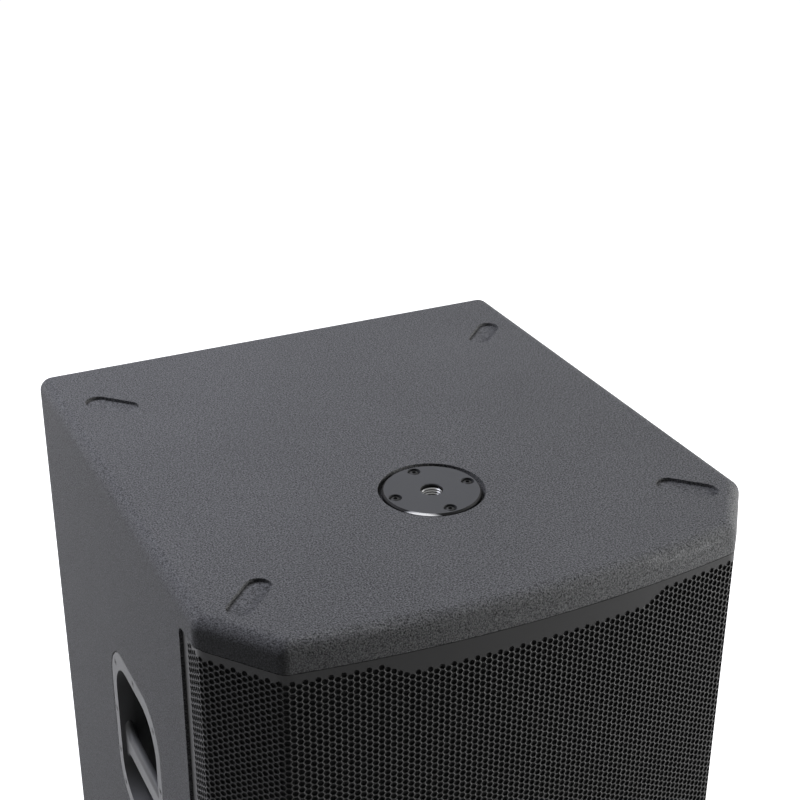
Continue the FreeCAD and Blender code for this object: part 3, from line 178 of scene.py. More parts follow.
# %% [markdown]
# ## Studio
# The floor is pale and the world round it is white where it is seen, straight on or mirrored in
# something glossy. What the floor throws back on the cabinet is kept low, because a black
# speaker in a pale room otherwise loses the deep shade that shows its corner.

# %% Floor and world
floor_half_width = 14.0
floor_drop = 0.0005             # keeps the floor from flickering through the feet
floor_seen = (0.85, 0.85, 0.86, 1)
floor_reflecting = (0.12, 0.12, 0.12, 1)
world_fill = 0.02


def seen_directly(tree):
    """A factor that is one for camera, mirrored and refracted rays."""
    path = add_node(tree, "ShaderNodeLightPath")
    straight, mirrored, refracted = [Field(path.outputs["Is %s Ray" % kind])
                                     for kind in ("Camera", "Glossy", "Transmission")]
    return calc("MAXIMUM", calc("MAXIMUM", straight, mirrored), refracted)


def make_floor():
    """A wide floor that looks white and lights the cabinet as a dark one would."""
    material = bpy.data.materials.new("studio_floor")
    material.use_nodes = True
    tree = material.node_tree
    tree.nodes.clear()
    pale = field(tree, "ShaderNodeBsdfDiffuse", {"Color": floor_seen})
    glow = field(tree, "ShaderNodeEmission", {"Color": (1, 1, 1, 1), "Strength": 1.0})
    both = field(tree, "ShaderNodeAddShader", {0: pale, 1: glow})
    dull = field(tree, "ShaderNodeBsdfDiffuse", {"Color": floor_reflecting})
    mix = field(tree, "ShaderNodeMixShader", {0: seen_directly(tree), 1: dull, 2: both})
    add_node(tree, "ShaderNodeOutputMaterial", {"Surface": mix})
    mesh = bpy.data.meshes.new("studio_floor")
    half = floor_half_width
    corners = [(-half, -half, 0), (half, -half, 0), (half, half, 0), (-half, half, 0)]
    mesh.from_pydata(corners, [], [(0, 1, 2, 3)])
    mesh.materials.append(material)
    made = bpy.data.objects.new("studio_floor", mesh)
    made.location.z = -floor_drop
    scene.collection.objects.link(made)
    return made


def make_world():
    """A world that is white where it is seen and gives only a little light."""
    scene.world = bpy.data.worlds.new("studio_world")
    scene.world.use_nodes = True
    tree = scene.world.node_tree
    tree.nodes.clear()
    fill = field(tree, "ShaderNodeBackground", {"Color": (0.95, 0.97, 1.0, 1), "Strength": world_fill})
    white = field(tree, "ShaderNodeBackground", {"Color": (1, 1, 1, 1), "Strength": 1.0})
    mix = field(tree, "ShaderNodeMixShader", {0: seen_directly(tree), 1: fill, 2: white})
    add_node(tree, "ShaderNodeOutputWorld", {"Surface": mix})


floor = make_floor()
make_world()
print("stage:", floor.name, scene.world.name)

# %% [markdown]
# A large lamp above and behind the cabinet makes the lid the lightest face, and a weak one behind on
# the left lifts the rear of the side. Two lamps on the right rake over the grille, which brings out
# the rims of its holes. Softboxes are area lamps: their size softens the shades they leave.

# %% Lamps
def add_softbox(name, place, target, width, height, power, colour=(1, 1, 1)):
    """A rectangular lamp that faces its target."""
    data = bpy.data.lights.new(name, "AREA")
    data.shape = "RECTANGLE"
    data.size = width
    data.size_y = height
    data.energy = power
    data.color = colour
    lamp = bpy.data.objects.new(name, data)
    lamp.location = place
    lamp.rotation_euler = (Vector(target) - Vector(place)).to_track_quat("-Z", "Y").to_euler()
    lamp.visible_camera = False
    scene.collection.objects.link(lamp)


cool = (0.97, 0.98, 1.11)
add_softbox("rear_top_softbox", (-0.9, 0.9, 2.2), (0, 0, 0.6), 1.2, 1.2, 33, cool)
add_softbox("rear_left_softbox", (-1.2, 2.6, 0.6), (-0.27, 0.2, 0.4), 1.0, 1.0, 11)
add_softbox("right_softbox", (2.3, -0.75, 1.0), (0.1, -0.28, 0.4), 1.0, 1.6, 52)
add_softbox("front_right_softbox", (2.2, -1.6, 0.9), (0.2, -0.28, 0.5), 0.8, 1.4, 29)

# %% [markdown]
# ## Finishes
# Every finish on the cabinet is one small recipe: a colour that drifts a little over the surface, a
# roughness that drifts with it, and a fine relief. A node group holds that recipe once. Each
# material then places the group with its own sizes, and keeps the shader itself outside it.

# %% The shared surface group
def make_surface_group():
    """Fine grain and broad patches, mixed into a colour, a roughness and a height."""
    grey = (0.5, 0.5, 0.5, 1)
    tree, given, result = new_group(
        "surface_drift", "ShaderNodeTree",
        [("Vector", "NodeSocketVector", None), ("Colour", "NodeSocketColor", grey),
         ("Second Colour", "NodeSocketColor", grey), ("Grain Scale", "NodeSocketFloat", 400.0),
         ("Patch Scale", "NodeSocketFloat", 6.0), ("Grain Share", "NodeSocketFloat", 0.5),
         ("Roughness", "NodeSocketFloat", 0.5), ("Roughness Spread", "NodeSocketFloat", 0.1)],
        [("Colour", "NodeSocketColor"), ("Roughness", "NodeSocketFloat"), ("Height", "NodeSocketFloat")])
    grain = field(tree, "ShaderNodeTexNoise", {
        "Vector": given["Vector"], "Scale": given["Grain Scale"], "Detail": 2.0, "Roughness": 0.6}, "Fac")
    patch = field(tree, "ShaderNodeTexNoise", {
        "Vector": given["Vector"], "Scale": given["Patch Scale"], "Detail": 3.0}, "Fac")
    share = field(tree, "ShaderNodeMix", {0: given["Grain Share"], 2: patch, 3: grain}, data_type="FLOAT")
    drift = field(tree, "ShaderNodeMapRange", {"Value": share, "From Min": 0.3, "From Max": 0.7})
    feed(result, {
        "Colour": mix_colours(tree, drift, given["Colour"], given["Second Colour"]),
        "Roughness": given["Roughness"] + (drift - 0.5) * given["Roughness Spread"],
        "Height": grain})
    return tree


surface_group = make_surface_group()
print("group:", surface_group.name, [s.name for s in surface_group.interface.items_tree])

# %% A material from the group
def finish(name, colour, second, rough, spread=0.1, grain=500, patch=6, share=0.5, metal=0.0,
           specular=0.5, relief=0.00005, coat=0.0):
    """A material: the surface group feeding one Principled shader. Grain and patch count per metre."""
    material = bpy.data.materials.new(name)
    material.use_nodes = True
    tree = material.node_tree
    place = add_node(tree, "ShaderNodeTexCoord").outputs["Object"]
    drift = add_node(tree, "ShaderNodeGroup", {
        "Vector": place, "Colour": (*colour, 1), "Second Colour": (*second, 1), "Grain Scale": grain,
        "Patch Scale": patch, "Grain Share": share, "Roughness": rough, "Roughness Spread": spread},
        node_tree=surface_group)
    bump = field(tree, "ShaderNodeBump", {
        "Strength": 1.0, "Distance": relief, "Height": drift.outputs["Height"]})
    feed(tree.nodes["Principled BSDF"], {
        "Base Color": drift.outputs["Colour"], "Roughness": drift.outputs["Roughness"], "Normal": bump,
        "Metallic": metal, "Specular IOR Level": specular, "Coat Weight": coat})
    return material


def dress(material, *names):
    """Put a material on CAD nodes."""
    for name in names:
        if not nodes[name].material_slots:
            nodes[name].data.materials.append(material)
        for entry in nodes[name].material_slots:
            entry.material = material


def shade(level, tint=0.0):
    """A near-neutral colour, cooler as the tint rises."""
    return (level * (1 - tint), level, level * (1 + 1.5 * tint))


print("ready to dress", len(nodes), "nodes")

# %% [markdown]
# The shell is plywood under a sprayed coat that dries to a hard, pebbled skin. Its pebbles are a
# millimetre or so wide, so the fine grain draws nearly all of it, in both tone and relief, and the
# broad patches hardly count. The boards inside are bare birch, and the feet are rubber.

# %% Finishes of the box
coating = finish("cabinet_coating", shade(0.012, 0.01), shade(0.250, 0.01), rough=0.68, spread=0.2,
                 grain=700, patch=5, share=0.93, specular=0.1, relief=0.0006)
plywood = finish("birch_plywood", (0.50, 0.36, 0.22), (0.66, 0.50, 0.33), rough=0.62, grain=160,
                 patch=12, share=0.4)
rubber = finish("foot_rubber", shade(0.018), shade(0.03), rough=0.7, grain=900, patch=30)
dress(coating, "top_panel", "bottom_panel", "left_side_panel", "right_side_panel", "rear_panel",
      "top_front_rail", "bottom_front_rail")
dress(plywood, "front_baffle", "port_shelf", "port_divider", "cross_brace")
dress(rubber, "rubber_feet")
print("box finishes:", coating.name, plywood.name, rubber.name)

# %% [markdown]
# Most metal on the cabinet is painted or blackened, and painted metal looks like paint: only the bare
# plates, the copper coil, the amplifier's can and fins, the thread and the jack latches are metallic.
# Screws are kept dull, so that they read as small dark dots.

# %% Finishes of the metalwork
black_steel = finish("blackened_screws", shade(0.015), shade(0.03), rough=0.5, spread=0.15, grain=900,
                     patch=60, specular=0.25)
socket_paint = finish("socket_plate_paint", shade(0.13, 0.01), shade(0.15, 0.01), rough=0.42, grain=700,
                      patch=20, specular=0.4)
bare_steel = finish("bare_steel", shade(0.42), shade(0.55), rough=0.35, spread=0.15, grain=300,
                    patch=20, metal=1.0)
grille_paint = finish("grille_powder_coat", shade(0.05, -0.01), shade(0.07, -0.01), rough=0.5,
                      grain=900, patch=10, share=0.4, specular=0.2, relief=0.00003)
cast_alloy = finish("cast_basket_paint", shade(0.035), shade(0.05), rough=0.5, patch=20, relief=0.0001)
ferrite = finish("ferrite_ring", shade(0.07), shade(0.10), rough=0.7, grain=700, patch=30)
copper = finish("coil_copper", (0.70, 0.36, 0.18), (0.78, 0.44, 0.24), rough=0.32, grain=900, patch=40,
                metal=1.0)
amp_paint = finish("amp_panel_paint", shade(0.045), shade(0.06), rough=0.55, grain=900, patch=10,
                   relief=0.00008)
fin_black = finish("anodised_fins", shade(0.03), shade(0.045), rough=0.38, grain=600, patch=30,
                   metal=0.7)
can_steel = finish("can_steel", shade(0.5), shade(0.62), rough=0.3, spread=0.15, grain=300, patch=15,
                   metal=1.0)
# the thread's steel, made darker than bare steel: partly its own tone, partly painted shade of the bore
thread_steel = finish("thread_steel_with_bore_shade", shade(0.16), shade(0.26), rough=0.3, spread=0.15, grain=300,
                      patch=20, metal=1.0)
latch_metal = finish("latch_nickel", shade(0.16), shade(0.22), rough=0.35, grain=600, patch=40,
                     metal=1.0)
dress(black_steel, "feet_screws", "pole_plate_screws", "grille_screws", "handle_screws", "woofer_screws",
      "amp_screws")
dress(socket_paint, "pole_plate")
dress(bare_steel, "pole_plate_backing", "woofer_front_plate", "woofer_back_plate")
dress(grille_paint, "grille")
dress(cast_alloy, "woofer_basket")
dress(ferrite, "woofer_magnet")
dress(copper, "voice_coil")
dress(amp_paint, "amp_panel")
dress(fin_black, "amp_heatsink")
dress(can_steel, "amp_can")
dress(latch_metal, "input_latch_a", "input_latch_b")
print("metal finishes so far:", len(bpy.data.materials))

# %% [markdown]
# A web is painted dark at the hole, a painted shade, and paler on its slightly domed middle, a
# painted highlight; plain metal is darkest. Each point of the sheet will carry an attribute named
# web: 0 on plain metal, and elsewhere its distance from the middle of the hole, as a share of the
# cell's radius. The finish reads the painted light and the dome from it, so both stay fixed to every
# hole however the sheet is bent.

# %% Painted light on the punched webs
hole_lip = 0.72                 # the attribute's value at the edge of a hole
web_dome = 0.0022
web_light_share = 0.85


def tone_webs(material):
    """Paint the sheet: plain trim dark, painted shade at hole lips, painted highlights on domed web middles.
    """
    tree = material.node_tree
    web = add_node(tree, "ShaderNodeAttribute", attribute_name="web").outputs["Fac"]
    painted_light_ramp = add_node(tree, "ShaderNodeValToRGB", {"Fac": web})
    ramp = painted_light_ramp.color_ramp
    # painted light: plain metal darkest, painted shade at a hole's lip, a painted highlight mid-web
    ramp.elements[0].position = 0.5
    ramp.elements[0].color = (*shade(0.012), 1)
    ramp.elements[1].color = (*shade(0.17, -0.01), 1)
    ramp.elements.new(hole_lip).color = (*shade(0.020, -0.01), 1)
    ridge = field(tree, "ShaderNodeMapRange", {"Value": web, "From Min": hole_lip, "From Max": 1.0})
    dome = field(tree, "ShaderNodeBump", {
        "Distance": web_dome, "Height": ridge, "Normal": tree.nodes["Bump"].outputs["Normal"]})
    paint = tree.nodes["Group"].outputs["Colour"]
    feed(tree.nodes["Principled BSDF"], {
        "Base Color": mix_colours(tree, web_light_share, paint, painted_light_ramp.outputs["Color"]), "Normal": dome})


tone_webs(grille_paint)
print("toned:", grille_paint.name, "nodes:", len(grille_paint.node_tree.nodes))

# %% [markdown]
# Handles, knobs, sockets and switches are moulded plastic, told apart by how grey and how glossy they
# are. Foams are nearly free of shine. The parts that only a service engineer sees, such as the paper
# cone, the yellow spider and the green board, have the colours such parts usually have.

# %% Finishes of the mouldings and soft parts
handle_plastic = finish("handle_plastic", shade(0.075, 0.01), shade(0.095, 0.01), rough=0.5, grain=1200,
                        patch=12, specular=0.4, relief=0.00004)
black_plastic = finish("black_plastic", shade(0.010), shade(0.016), rough=0.4, grain=900, patch=25,
                       specular=0.25)
knob_plastic = finish("knob_plastic", shade(0.012), shade(0.018), rough=0.4, grain=900, patch=25,
                      specular=0.25)
jack_plastic = finish("jack_shell_plastic", shade(0.012), shade(0.018), rough=0.45, grain=900, patch=25,
                      specular=0.25)
lamp_lens = finish("lamp_lens", (0.20, 0.46, 0.24), (0.28, 0.58, 0.32), rough=0.15, spread=0.05,
                   grain=600, patch=60, coat=0.5)
foam_black = finish("grille_foam", shade(0.09), shade(0.13), rough=0.95, spread=0.05, grain=900,
                    patch=30, share=0.7, specular=0.1, relief=0.0006)
gasket_foam = finish("gasket_foam", shade(0.02), shade(0.032), rough=0.85, spread=0.05, grain=900,
                     patch=30, share=0.6, relief=0.0003)
cone_paper = finish("cone_paper", shade(0.035), shade(0.06), rough=0.75, grain=420, patch=30, share=0.6,
                    relief=0.0003)
surround = finish("surround_rubber", shade(0.025), shade(0.035), rough=0.55, grain=700, patch=20)
spider_cloth = finish("spider_cloth", (0.55, 0.40, 0.16), (0.68, 0.52, 0.25), rough=0.85, spread=0.05,
                      grain=900, patch=30, share=0.6, relief=0.0002)
board_green = finish("board_lacquer", (0.03, 0.17, 0.07), (0.05, 0.24, 0.11), rough=0.35, grain=250,
                     patch=40)
tape_yellow = finish("transformer_tape", (0.50, 0.40, 0.08), (0.60, 0.48, 0.12), rough=0.4, grain=300,
                     patch=30)
lead_red = finish("lead_jacket", (0.30, 0.02, 0.02), (0.38, 0.035, 0.03), rough=0.45, grain=700,
                  patch=30)
dress(handle_plastic, "left_handle_frame", "right_handle_frame", "left_handle_dish", "right_handle_dish")
dress(black_plastic, "woofer_terminal", "power_switch_housing", "mains_inlet", "potentiometers",
      "push_switches")
dress(knob_plastic, "level_knob", "crossover_knob", "polarity_button", "ground_lift_button", "power_rocker")
dress(jack_plastic, "input_jack_a", "input_jack_b", "output_jacks")
dress(lamp_lens, "status_lamps")
dress(foam_black, "grille_foam")
dress(gasket_foam, "handle_gaskets", "woofer_gasket", "amp_gasket")
dress(cone_paper, "woofer_cone", "dust_cap")
dress(surround, "woofer_surround")
dress(spider_cloth, "woofer_spider")
dress(board_green, "amp_board")
dress(tape_yellow, "amp_transformer")
dress(lead_red, "speaker_lead")
print("finishes:", len(bpy.data.materials))

# %% [markdown]
# ## The outline of the front
# The grille lies just below the sides of the box, so its outline starts a little inside them. It runs
# along a flat chamfer at each front corner and then along the bowed front. A path along that
# outline is needed for the sheet that wraps round it. Two corners on each side are rounded as a
# sheet-metal brake would: an arc that touches both stretches.

# %% Outline path
sheet_low, sheet_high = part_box("grille")
flange_x = sheet_high.x
flange_end_y = sheet_high.y
crest_y = sheet_low.y
bend_radius = 0.014
curve_steps = {"side": 10, "front": 8, "bow": 40}
box_corner = Vector((cad_high.x, -0.209))           # where the cut-back corner starts on the side
front_corner = Vector((0.2157, -0.2745))            # where it meets the bow
chamfer = (front_corner - box_corner).normalized()
side_corner = box_corner + chamfer * ((flange_x - box_corner.x) / chamfer.x)
bow_depth = front_corner.y - crest_y
bow_radius = (front_corner.x ** 2 + bow_depth ** 2) / (2 * bow_depth)
bow_centre = Vector((0, crest_y + bow_radius))


def arc_points(centre, start, end, count):
    """Points from start to end round a centre, the short way."""
    a = math.atan2(start.y - centre.y, start.x - centre.x)
    b = math.atan2(end.y - centre.y, end.x - centre.x)
    sweep = (b - a + math.pi) % (2 * math.pi) - math.pi
    radius = (start - centre).length
    angles = [a + sweep * i / count for i in range(count + 1)]
    return [centre + radius * Vector((math.cos(angle), math.sin(angle))) for angle in angles]


def half_outline():
    """Right half of the front's outline, from the flange's end to the crest."""
    inward = Vector((chamfer.y, -chamfer.x))
    reach = bend_radius * math.tan(chamfer.angle(Vector((0, -1))) / 2)
    side_centre = side_corner + Vector((-bend_radius, reach))
    points = [Vector((flange_x, flange_end_y))]
    points += arc_points(side_centre, side_corner + Vector((0, reach)), side_corner + chamfer * reach,
                         curve_steps["side"])
    # the front arc touches the chamfer and, from inside, the bow
    base = side_corner + inward * bend_radius
    gap = base - bow_centre
    root = math.sqrt(gap.dot(chamfer) ** 2 - gap.dot(gap) + (bow_radius - bend_radius) ** 2)
    steps = (-gap.dot(chamfer) - root, -gap.dot(chamfer) + root)
    front_centre = base + chamfer * min(steps, key=lambda t: (base + chamfer * t - front_corner).length)
    touch_bow = bow_centre + (front_centre - bow_centre).normalized() * bow_radius
    touch_chamfer = front_centre - inward * bend_radius
    points += arc_points(front_centre, touch_chamfer, touch_bow, curve_steps["front"])
    points += arc_points(bow_centre, touch_bow, Vector((0, crest_y)), curve_steps["bow"])[1:]
    return points


right_half = half_outline()
outline = [Vector((-p.x, p.y)) for p in right_half] + right_half[-2::-1]
outline_length = sum((b - a).length for a, b in zip(outline, outline[1:]))
print("outline:", len(outline), "points,", round(outline_length * 1000, 1), "mm")

# %% [markdown]
# ## The grille
# A punched steel sheet has rows of round holes set like the cells of a honeycomb. Cutting eleven
# thousand holes with booleans would take minutes and leave long thin faces. Here Geometry Nodes lay
# a flat lattice of six-sided cells, each with its hole already in it, trim the lattice to the sheet,
# give it its thickness, and only then bend it along the outline. Every hole stays round that way,
# on the bow as on the corners.

# %% Node helpers for Geometry Nodes
def new_tree(name, inputs):
    """A geometry tree with named inputs."""
    return new_group(name, "GeometryNodeTree", [("Geometry", "NodeSocketGeometry", None), *inputs],
                     [("Geometry", "NodeSocketGeometry")])


def position(tree):
    """Each point's place, as three fields."""
    return split(field(tree, "GeometryNodeInputPosition"))


def join_xyz(tree, *parts):
    return field(tree, "ShaderNodeCombineXYZ", enumerate(parts))


def circle(tree, sides, radius):
    return field(tree, "GeometryNodeCurvePrimitiveCircle", {"Resolution": sides, "Radius": radius},
                 mode="RADIUS")


def joined(tree, *geometries):
    """These geometries in one."""
    node = add_node(tree, "GeometryNodeJoinGeometry")
    for geometry in geometries:
        feed(node, {0: geometry})
    return Field(node.outputs[0])


def moved(tree, geometry, place):
    """The geometry with every point at its new place."""
    return field(tree, "GeometryNodeSetPosition", {"Geometry": geometry, "Position": place})


def welded(tree, geometry, distance):
    return field(tree, "GeometryNodeMergeByDistance", {"Geometry": geometry, "Distance": distance})


def copies(tree, points, shape, **inputs):
    """A copy of the shape on every point."""
    return field(tree, "GeometryNodeInstanceOnPoints", {"Points": points, "Instance": shape, **inputs})


def end_tree(tree, given, result, geometry):
    """Realize Instances and Set Material, as every tree here ends."""
    real = field(tree, "GeometryNodeRealizeInstances", {0: geometry})
    painted = field(tree, "GeometryNodeSetMaterial", {"Geometry": real, "Material": given["Material"]})
    feed(result, {"Geometry": painted})
    return tree


print("geometry helpers ready")

# %% The tree: lattice cells
lattice_weld = 0.00002


def lattice_cell(tree, pitch, hole=None):
    """A flat six-sided cell that carries the web attribute, with a round hole where one is wanted."""
    rim_radius = pitch / math.sqrt(3)
    shapes = circle(tree, 6, rim_radius)
    web = 0.0
    if hole is not None:
        shapes = joined(tree, shapes, circle(tree, 12, hole / 2.0))
        place = field(tree, "GeometryNodeInputPosition")
        web = field(tree, "ShaderNodeVectorMath", {0: place}, "Value", operation="LENGTH") / rim_radius
    face = field(tree, "GeometryNodeFillCurve", {0: shapes})
    return field(tree, "GeometryNodeStoreNamedAttribute", {"Geometry": face, "Name": "web", "Value": web},
                 data_type="FLOAT", domain="POINT")


def lattice_points(tree, given):
    """Grid points moved into a honeycomb: odd columns stand half a pitch lower."""
    pitch = given["Hole Pitch"]
    across = pitch * (math.sqrt(3) / 2)
    columns, rows = given["Column Count"], given["Row Count"]
    grid = field(tree, "GeometryNodeMeshGrid", {
        "Size X": (columns - 1.0) * across, "Size Y": (rows - 1.0) * pitch,
        "Vertices X": columns, "Vertices Y": rows})
    x, y, _ = position(tree)
    column = calc("ROUND", x / across + (columns - 1.0) * 0.5 + given["First Column"])
    odd = calc("FLOORED_MODULO", column, 2.0)
    height = y - (rows - 1.0) * (pitch * 0.5) + given["First Row Height"] - odd * (pitch * 0.5)
    return moved(tree, grid, join_xyz(tree, column * across, height, 0.0))


def punched_where(tree, given):
    """One for the cells that get a hole: clear of the margins and of the plain patch at the top."""
    x, y, _ = position(tree)
    away = calc("ABSOLUTE", x)
    in_width = calc("LESS_THAN", away, given["Half Length"] - given["Side Margin"])
    above_bottom = calc("GREATER_THAN", y, given["Sheet Bottom"] + given["End Margin"])
    slope = (given["Patch Half Width"] - away) / given["Patch Shoulder"] + 1.0
    slope = calc("MINIMUM", calc("MAXIMUM", slope, 0.0), 1.0)
    limit = given["Sheet Top"] - given["End Margin"] - slope * given["Patch Depth"]
    return in_width * above_bottom * calc("LESS_THAN", y, limit)


print("lattice weld:", lattice_weld * 1000, "mm")

# %% The tree: trim, thickness and bend
def trim_to_sheet(tree, given, geometry):
    """Pull every point outside the sheet's rounded border onto it."""
    x, y, _ = position(tree)
    top, radius = given["Sheet Top"], given["Corner Radius"]
    middle = (top + given["Sheet Bottom"]) * 0.5
    up_by = y - middle
    flat_x = given["Half Length"] - radius
    flat_y = top - middle - radius
    past_x = calc("MAXIMUM", calc("ABSOLUTE", x) - flat_x, 0.0)
    past_y = calc("MAXIMUM", calc("ABSOLUTE", up_by) - flat_y, 0.0)
    past = calc("SQRT", past_x * past_x + past_y * past_y)
    keep = calc("MINIMUM", radius / calc("MAXIMUM", past, 1e-6), 1.0)
    new_x = calc("MINIMUM", calc("ABSOLUTE", x), flat_x) + past_x * keep
    new_y = calc("MINIMUM", calc("ABSOLUTE", up_by), flat_y) + past_y * keep
    new_place = join_xyz(tree, new_x * calc("SIGN", x), new_y * calc("SIGN", up_by) + middle, 0.0)
    return moved(tree, geometry, new_place)


def thicken(tree, given, geometry):
    """A back face, side walls and a front face one sheet thickness above."""
    thickness = given["Thickness"]
    back = field(tree, "GeometryNodeTransform", {
        "Geometry": geometry, "Translation": join_xyz(tree, 0.0, 0.0, thickness * -1.0)})
    rise = field(tree, "GeometryNodeExtrudeMesh", {
        "Mesh": back, "Offset": join_xyz(tree, 0.0, 0.0, 1.0), "Offset Scale": thickness,
        "Individual": False}, mode="FACES")
    turned = field(tree, "GeometryNodeFlipFaces", {0: back})
    return welded(tree, joined(tree, turned, rise), lattice_weld)


def bend_along(tree, given, geometry):
    """Lay flat x on the outline's length, flat y upright, and flat z outwards."""
    x, y, z = position(tree)
    sample = add_node(tree, "GeometryNodeSampleCurve", {
        "Curves": given["Geometry"], "Curve Index": 0, "Length": x + given["Half Length"]}, mode="LENGTH")
    outwards = field(tree, "ShaderNodeVectorMath", {0: sample.outputs["Tangent"], 1: (0, 0, 1)},
                     operation="CROSS_PRODUCT")
    lift = field(tree, "ShaderNodeVectorMath", {0: outwards, "Scale": z}, operation="SCALE")
    base = field(tree, "ShaderNodeVectorMath", {0: sample.outputs["Position"], 1: lift}, operation="ADD")
    new_place = field(tree, "ShaderNodeVectorMath", {0: base, 1: join_xyz(tree, 0.0, 0.0, y)},
                      operation="ADD")
    return moved(tree, geometry, new_place)


def make_grille_tree():
    tree, given, result = new_tree("punched_sheet", [
        ("Hole Pitch", "NodeSocketFloat", 0.006), ("Hole Width", "NodeSocketFloat", 0.005),
        ("Thickness", "NodeSocketFloat", 0.0015), ("Half Length", "NodeSocketFloat", 0.3),
        ("Sheet Bottom", "NodeSocketFloat", 0.0), ("Sheet Top", "NodeSocketFloat", 0.5),
        ("Corner Radius", "NodeSocketFloat", 0.008), ("Side Margin", "NodeSocketFloat", 0.01),
        ("End Margin", "NodeSocketFloat", 0.008), ("Patch Half Width", "NodeSocketFloat", 0.1),
        ("Patch Shoulder", "NodeSocketFloat", 0.02), ("Patch Depth", "NodeSocketFloat", 0.01),
        ("First Row Height", "NodeSocketFloat", 0.5), ("First Column", "NodeSocketInt", 0),
        ("Column Count", "NodeSocketInt", 20), ("Row Count", "NodeSocketInt", 90),
        ("Material", "NodeSocketMaterial", None)])
    points = lattice_points(tree, given)
    punched = punched_where(tree, given)
    open_cell = lattice_cell(tree, given["Hole Pitch"], given["Hole Width"])
    plain_cell = lattice_cell(tree, given["Hole Pitch"])
    cells = joined(tree, copies(tree, points, open_cell, Selection=punched),
                   copies(tree, points, plain_cell, Selection=1.0 - punched))
    real = field(tree, "GeometryNodeRealizeInstances", {0: cells})
    flat = trim_to_sheet(tree, given, welded(tree, real, lattice_weld))
    return end_tree(tree, given, result, bend_along(tree, given, thicken(tree, given, flat)))


grille_tree = make_grille_tree()
print("tree:", grille_tree.name, "nodes:", len(grille_tree.nodes))

# %% [markdown]
# A curve object carries the outline into the tree. The result of a modifier is turned into a plain
# mesh once, and the curve is thrown away. The sheet is made in strips so that no piece grows too
# heavy to handle.

# %% Run a tree and keep its result
def curve_from(name, points):
    """A curve object of straight stretches through these points."""
    data = bpy.data.curves.new(name, "CURVE")
    data.dimensions = "3D"
    line = data.splines.new("POLY")
    line.points.add(len(points) - 1)
    for point, place in zip(line.points, points):
        point.co = (*place, 0, 1)
    carrier = bpy.data.objects.new(name, data)
    scene.collection.objects.link(carrier)
    return carrier


def grow(carrier, tree, name, **values):
    """Evaluate the tree on the carrier with these inputs, and return the mesh as a new object."""
    keys = {item.name: item.identifier for item in tree.interface.items_tree if item.in_out == "INPUT"}
    modifier = carrier.modifiers.new("grow", "NODES")
    modifier.node_group = tree
    for label, value in values.items():
        modifier[keys[label.replace("_", " ")]] = value
    view = bpy.context.evaluated_depsgraph_get()
    mesh = bpy.data.meshes.new_from_object(carrier.evaluated_get(view), depsgraph=view)
    carrier.modifiers.remove(modifier)
    mesh.name = name
    made = bpy.data.objects.new(name, mesh)
    scene.collection.objects.link(made)
    return made


def smooth_by_angle(piece, degrees):
    """Smooth shading that keeps edges sharper than this."""
    for polygon in piece.data.polygons:
        polygon.use_smooth = True
    piece.data.set_sharp_from_angle(angle=math.radians(degrees))


outline_curve = curve_from("outline_path", outline)
print("path:", outline_curve.name, len(outline), "points")

# %% Punch the sheet
hole_pitch = 0.00607
lid_to_first_row = 0.0375
strip_count = 6
column_step = hole_pitch * math.sqrt(3) / 2
first_row = cad_high.z - lid_to_first_row
last_column = math.ceil(outline_length / 2 / column_step)
rows_above = math.ceil((sheet_high.z - first_row) / hole_pitch)
row_count = rows_above + math.ceil((first_row - sheet_low.z) / hole_pitch) + 1
strip_starts = [round(-last_column + i * (2 * last_column + 1) / strip_count) for i in range(strip_count + 1)]
grille_pieces = []
for index, (start, stop) in enumerate(zip(strip_starts, strip_starts[1:])):
    piece = grow(outline_curve, grille_tree, "grille_strip_%d" % (index + 1), Hole_Pitch=hole_pitch,
                 Hole_Width=0.005, Thickness=0.0015, Half_Length=outline_length / 2,
                 Sheet_Bottom=sheet_low.z, Sheet_Top=sheet_high.z, Corner_Radius=0.008, Side_Margin=0.013,
                 End_Margin=0.0082, Patch_Half_Width=0.115, Patch_Shoulder=0.021, Patch_Depth=0.0105,
                 First_Row_Height=first_row + rows_above * hole_pitch, First_Column=start,
                 Column_Count=stop - start, Row_Count=row_count, Material=grille_paint)
    smooth_by_angle(piece, 40)
    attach(piece, "cabinet")
    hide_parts("grille")
    grille_pieces.append(piece)
bpy.data.objects.remove(outline_curve)
print("grille strips:", [len(p.data.polygons) for p in grille_pieces])

# %% [markdown]
# ## Screws
# Every fixing on the box is a blackened screw: flat heads on the handles, low round heads elsewhere.
# A screw is a solid of revolution except for its driver recess, so one grid of points can be
# folded into it: the columns go round the axis, and each row takes its radius and height from a
# list. The row at the recess has a wavy radius, which gives the lobes. The tree then stands a copy
# on every seat, turned at random as a fitter leaves them.

# %% Find the seats
def by_place(box):
    """Both corners to a hundredth of a millimetre, to sort boxes the same way in every run."""
    return [round(value, 5) for value in (*box[0], *box[1])]


def loose_boxes(name):
    """Lowest and highest corners of the separate solids in a CAD node, in order of place."""
    mesh = bmesh.new()
    mesh.from_mesh(nodes[name].data)
    bmesh.ops.remove_doubles(mesh, verts=mesh.verts, dist=0.000005)
    left = set(mesh.verts)
    boxes = []
    while left:
        reached = [left.pop()]
        for vertex in reached:
            for edge in vertex.link_edges:
                other = edge.other_vert(vertex)
                if other in left:
                    left.remove(other)
                    reached.append(other)
        places = [v.co for v in reached]
        boxes.append((Vector([min(p[i] for p in places) for i in range(3)]),
                      Vector([max(p[i] for p in places) for i in range(3)])))
    mesh.free()
    return sorted(boxes, key=by_place)


def screw_seats(name, axis, sign, head_height):
    """Seat centre and outward direction of each screw; a sign of 0 means away from the middle."""
    seats = []
    for low, high in loose_boxes(name):
        middle = (low + high) / 2
        facing = sign or math.copysign(1, middle[axis])
        outward = Vector()
        outward[axis] = facing
        middle[axis] = (high[axis] if facing > 0 else low[axis]) - facing * head_height
        seats.append((middle, outward))
    return seats


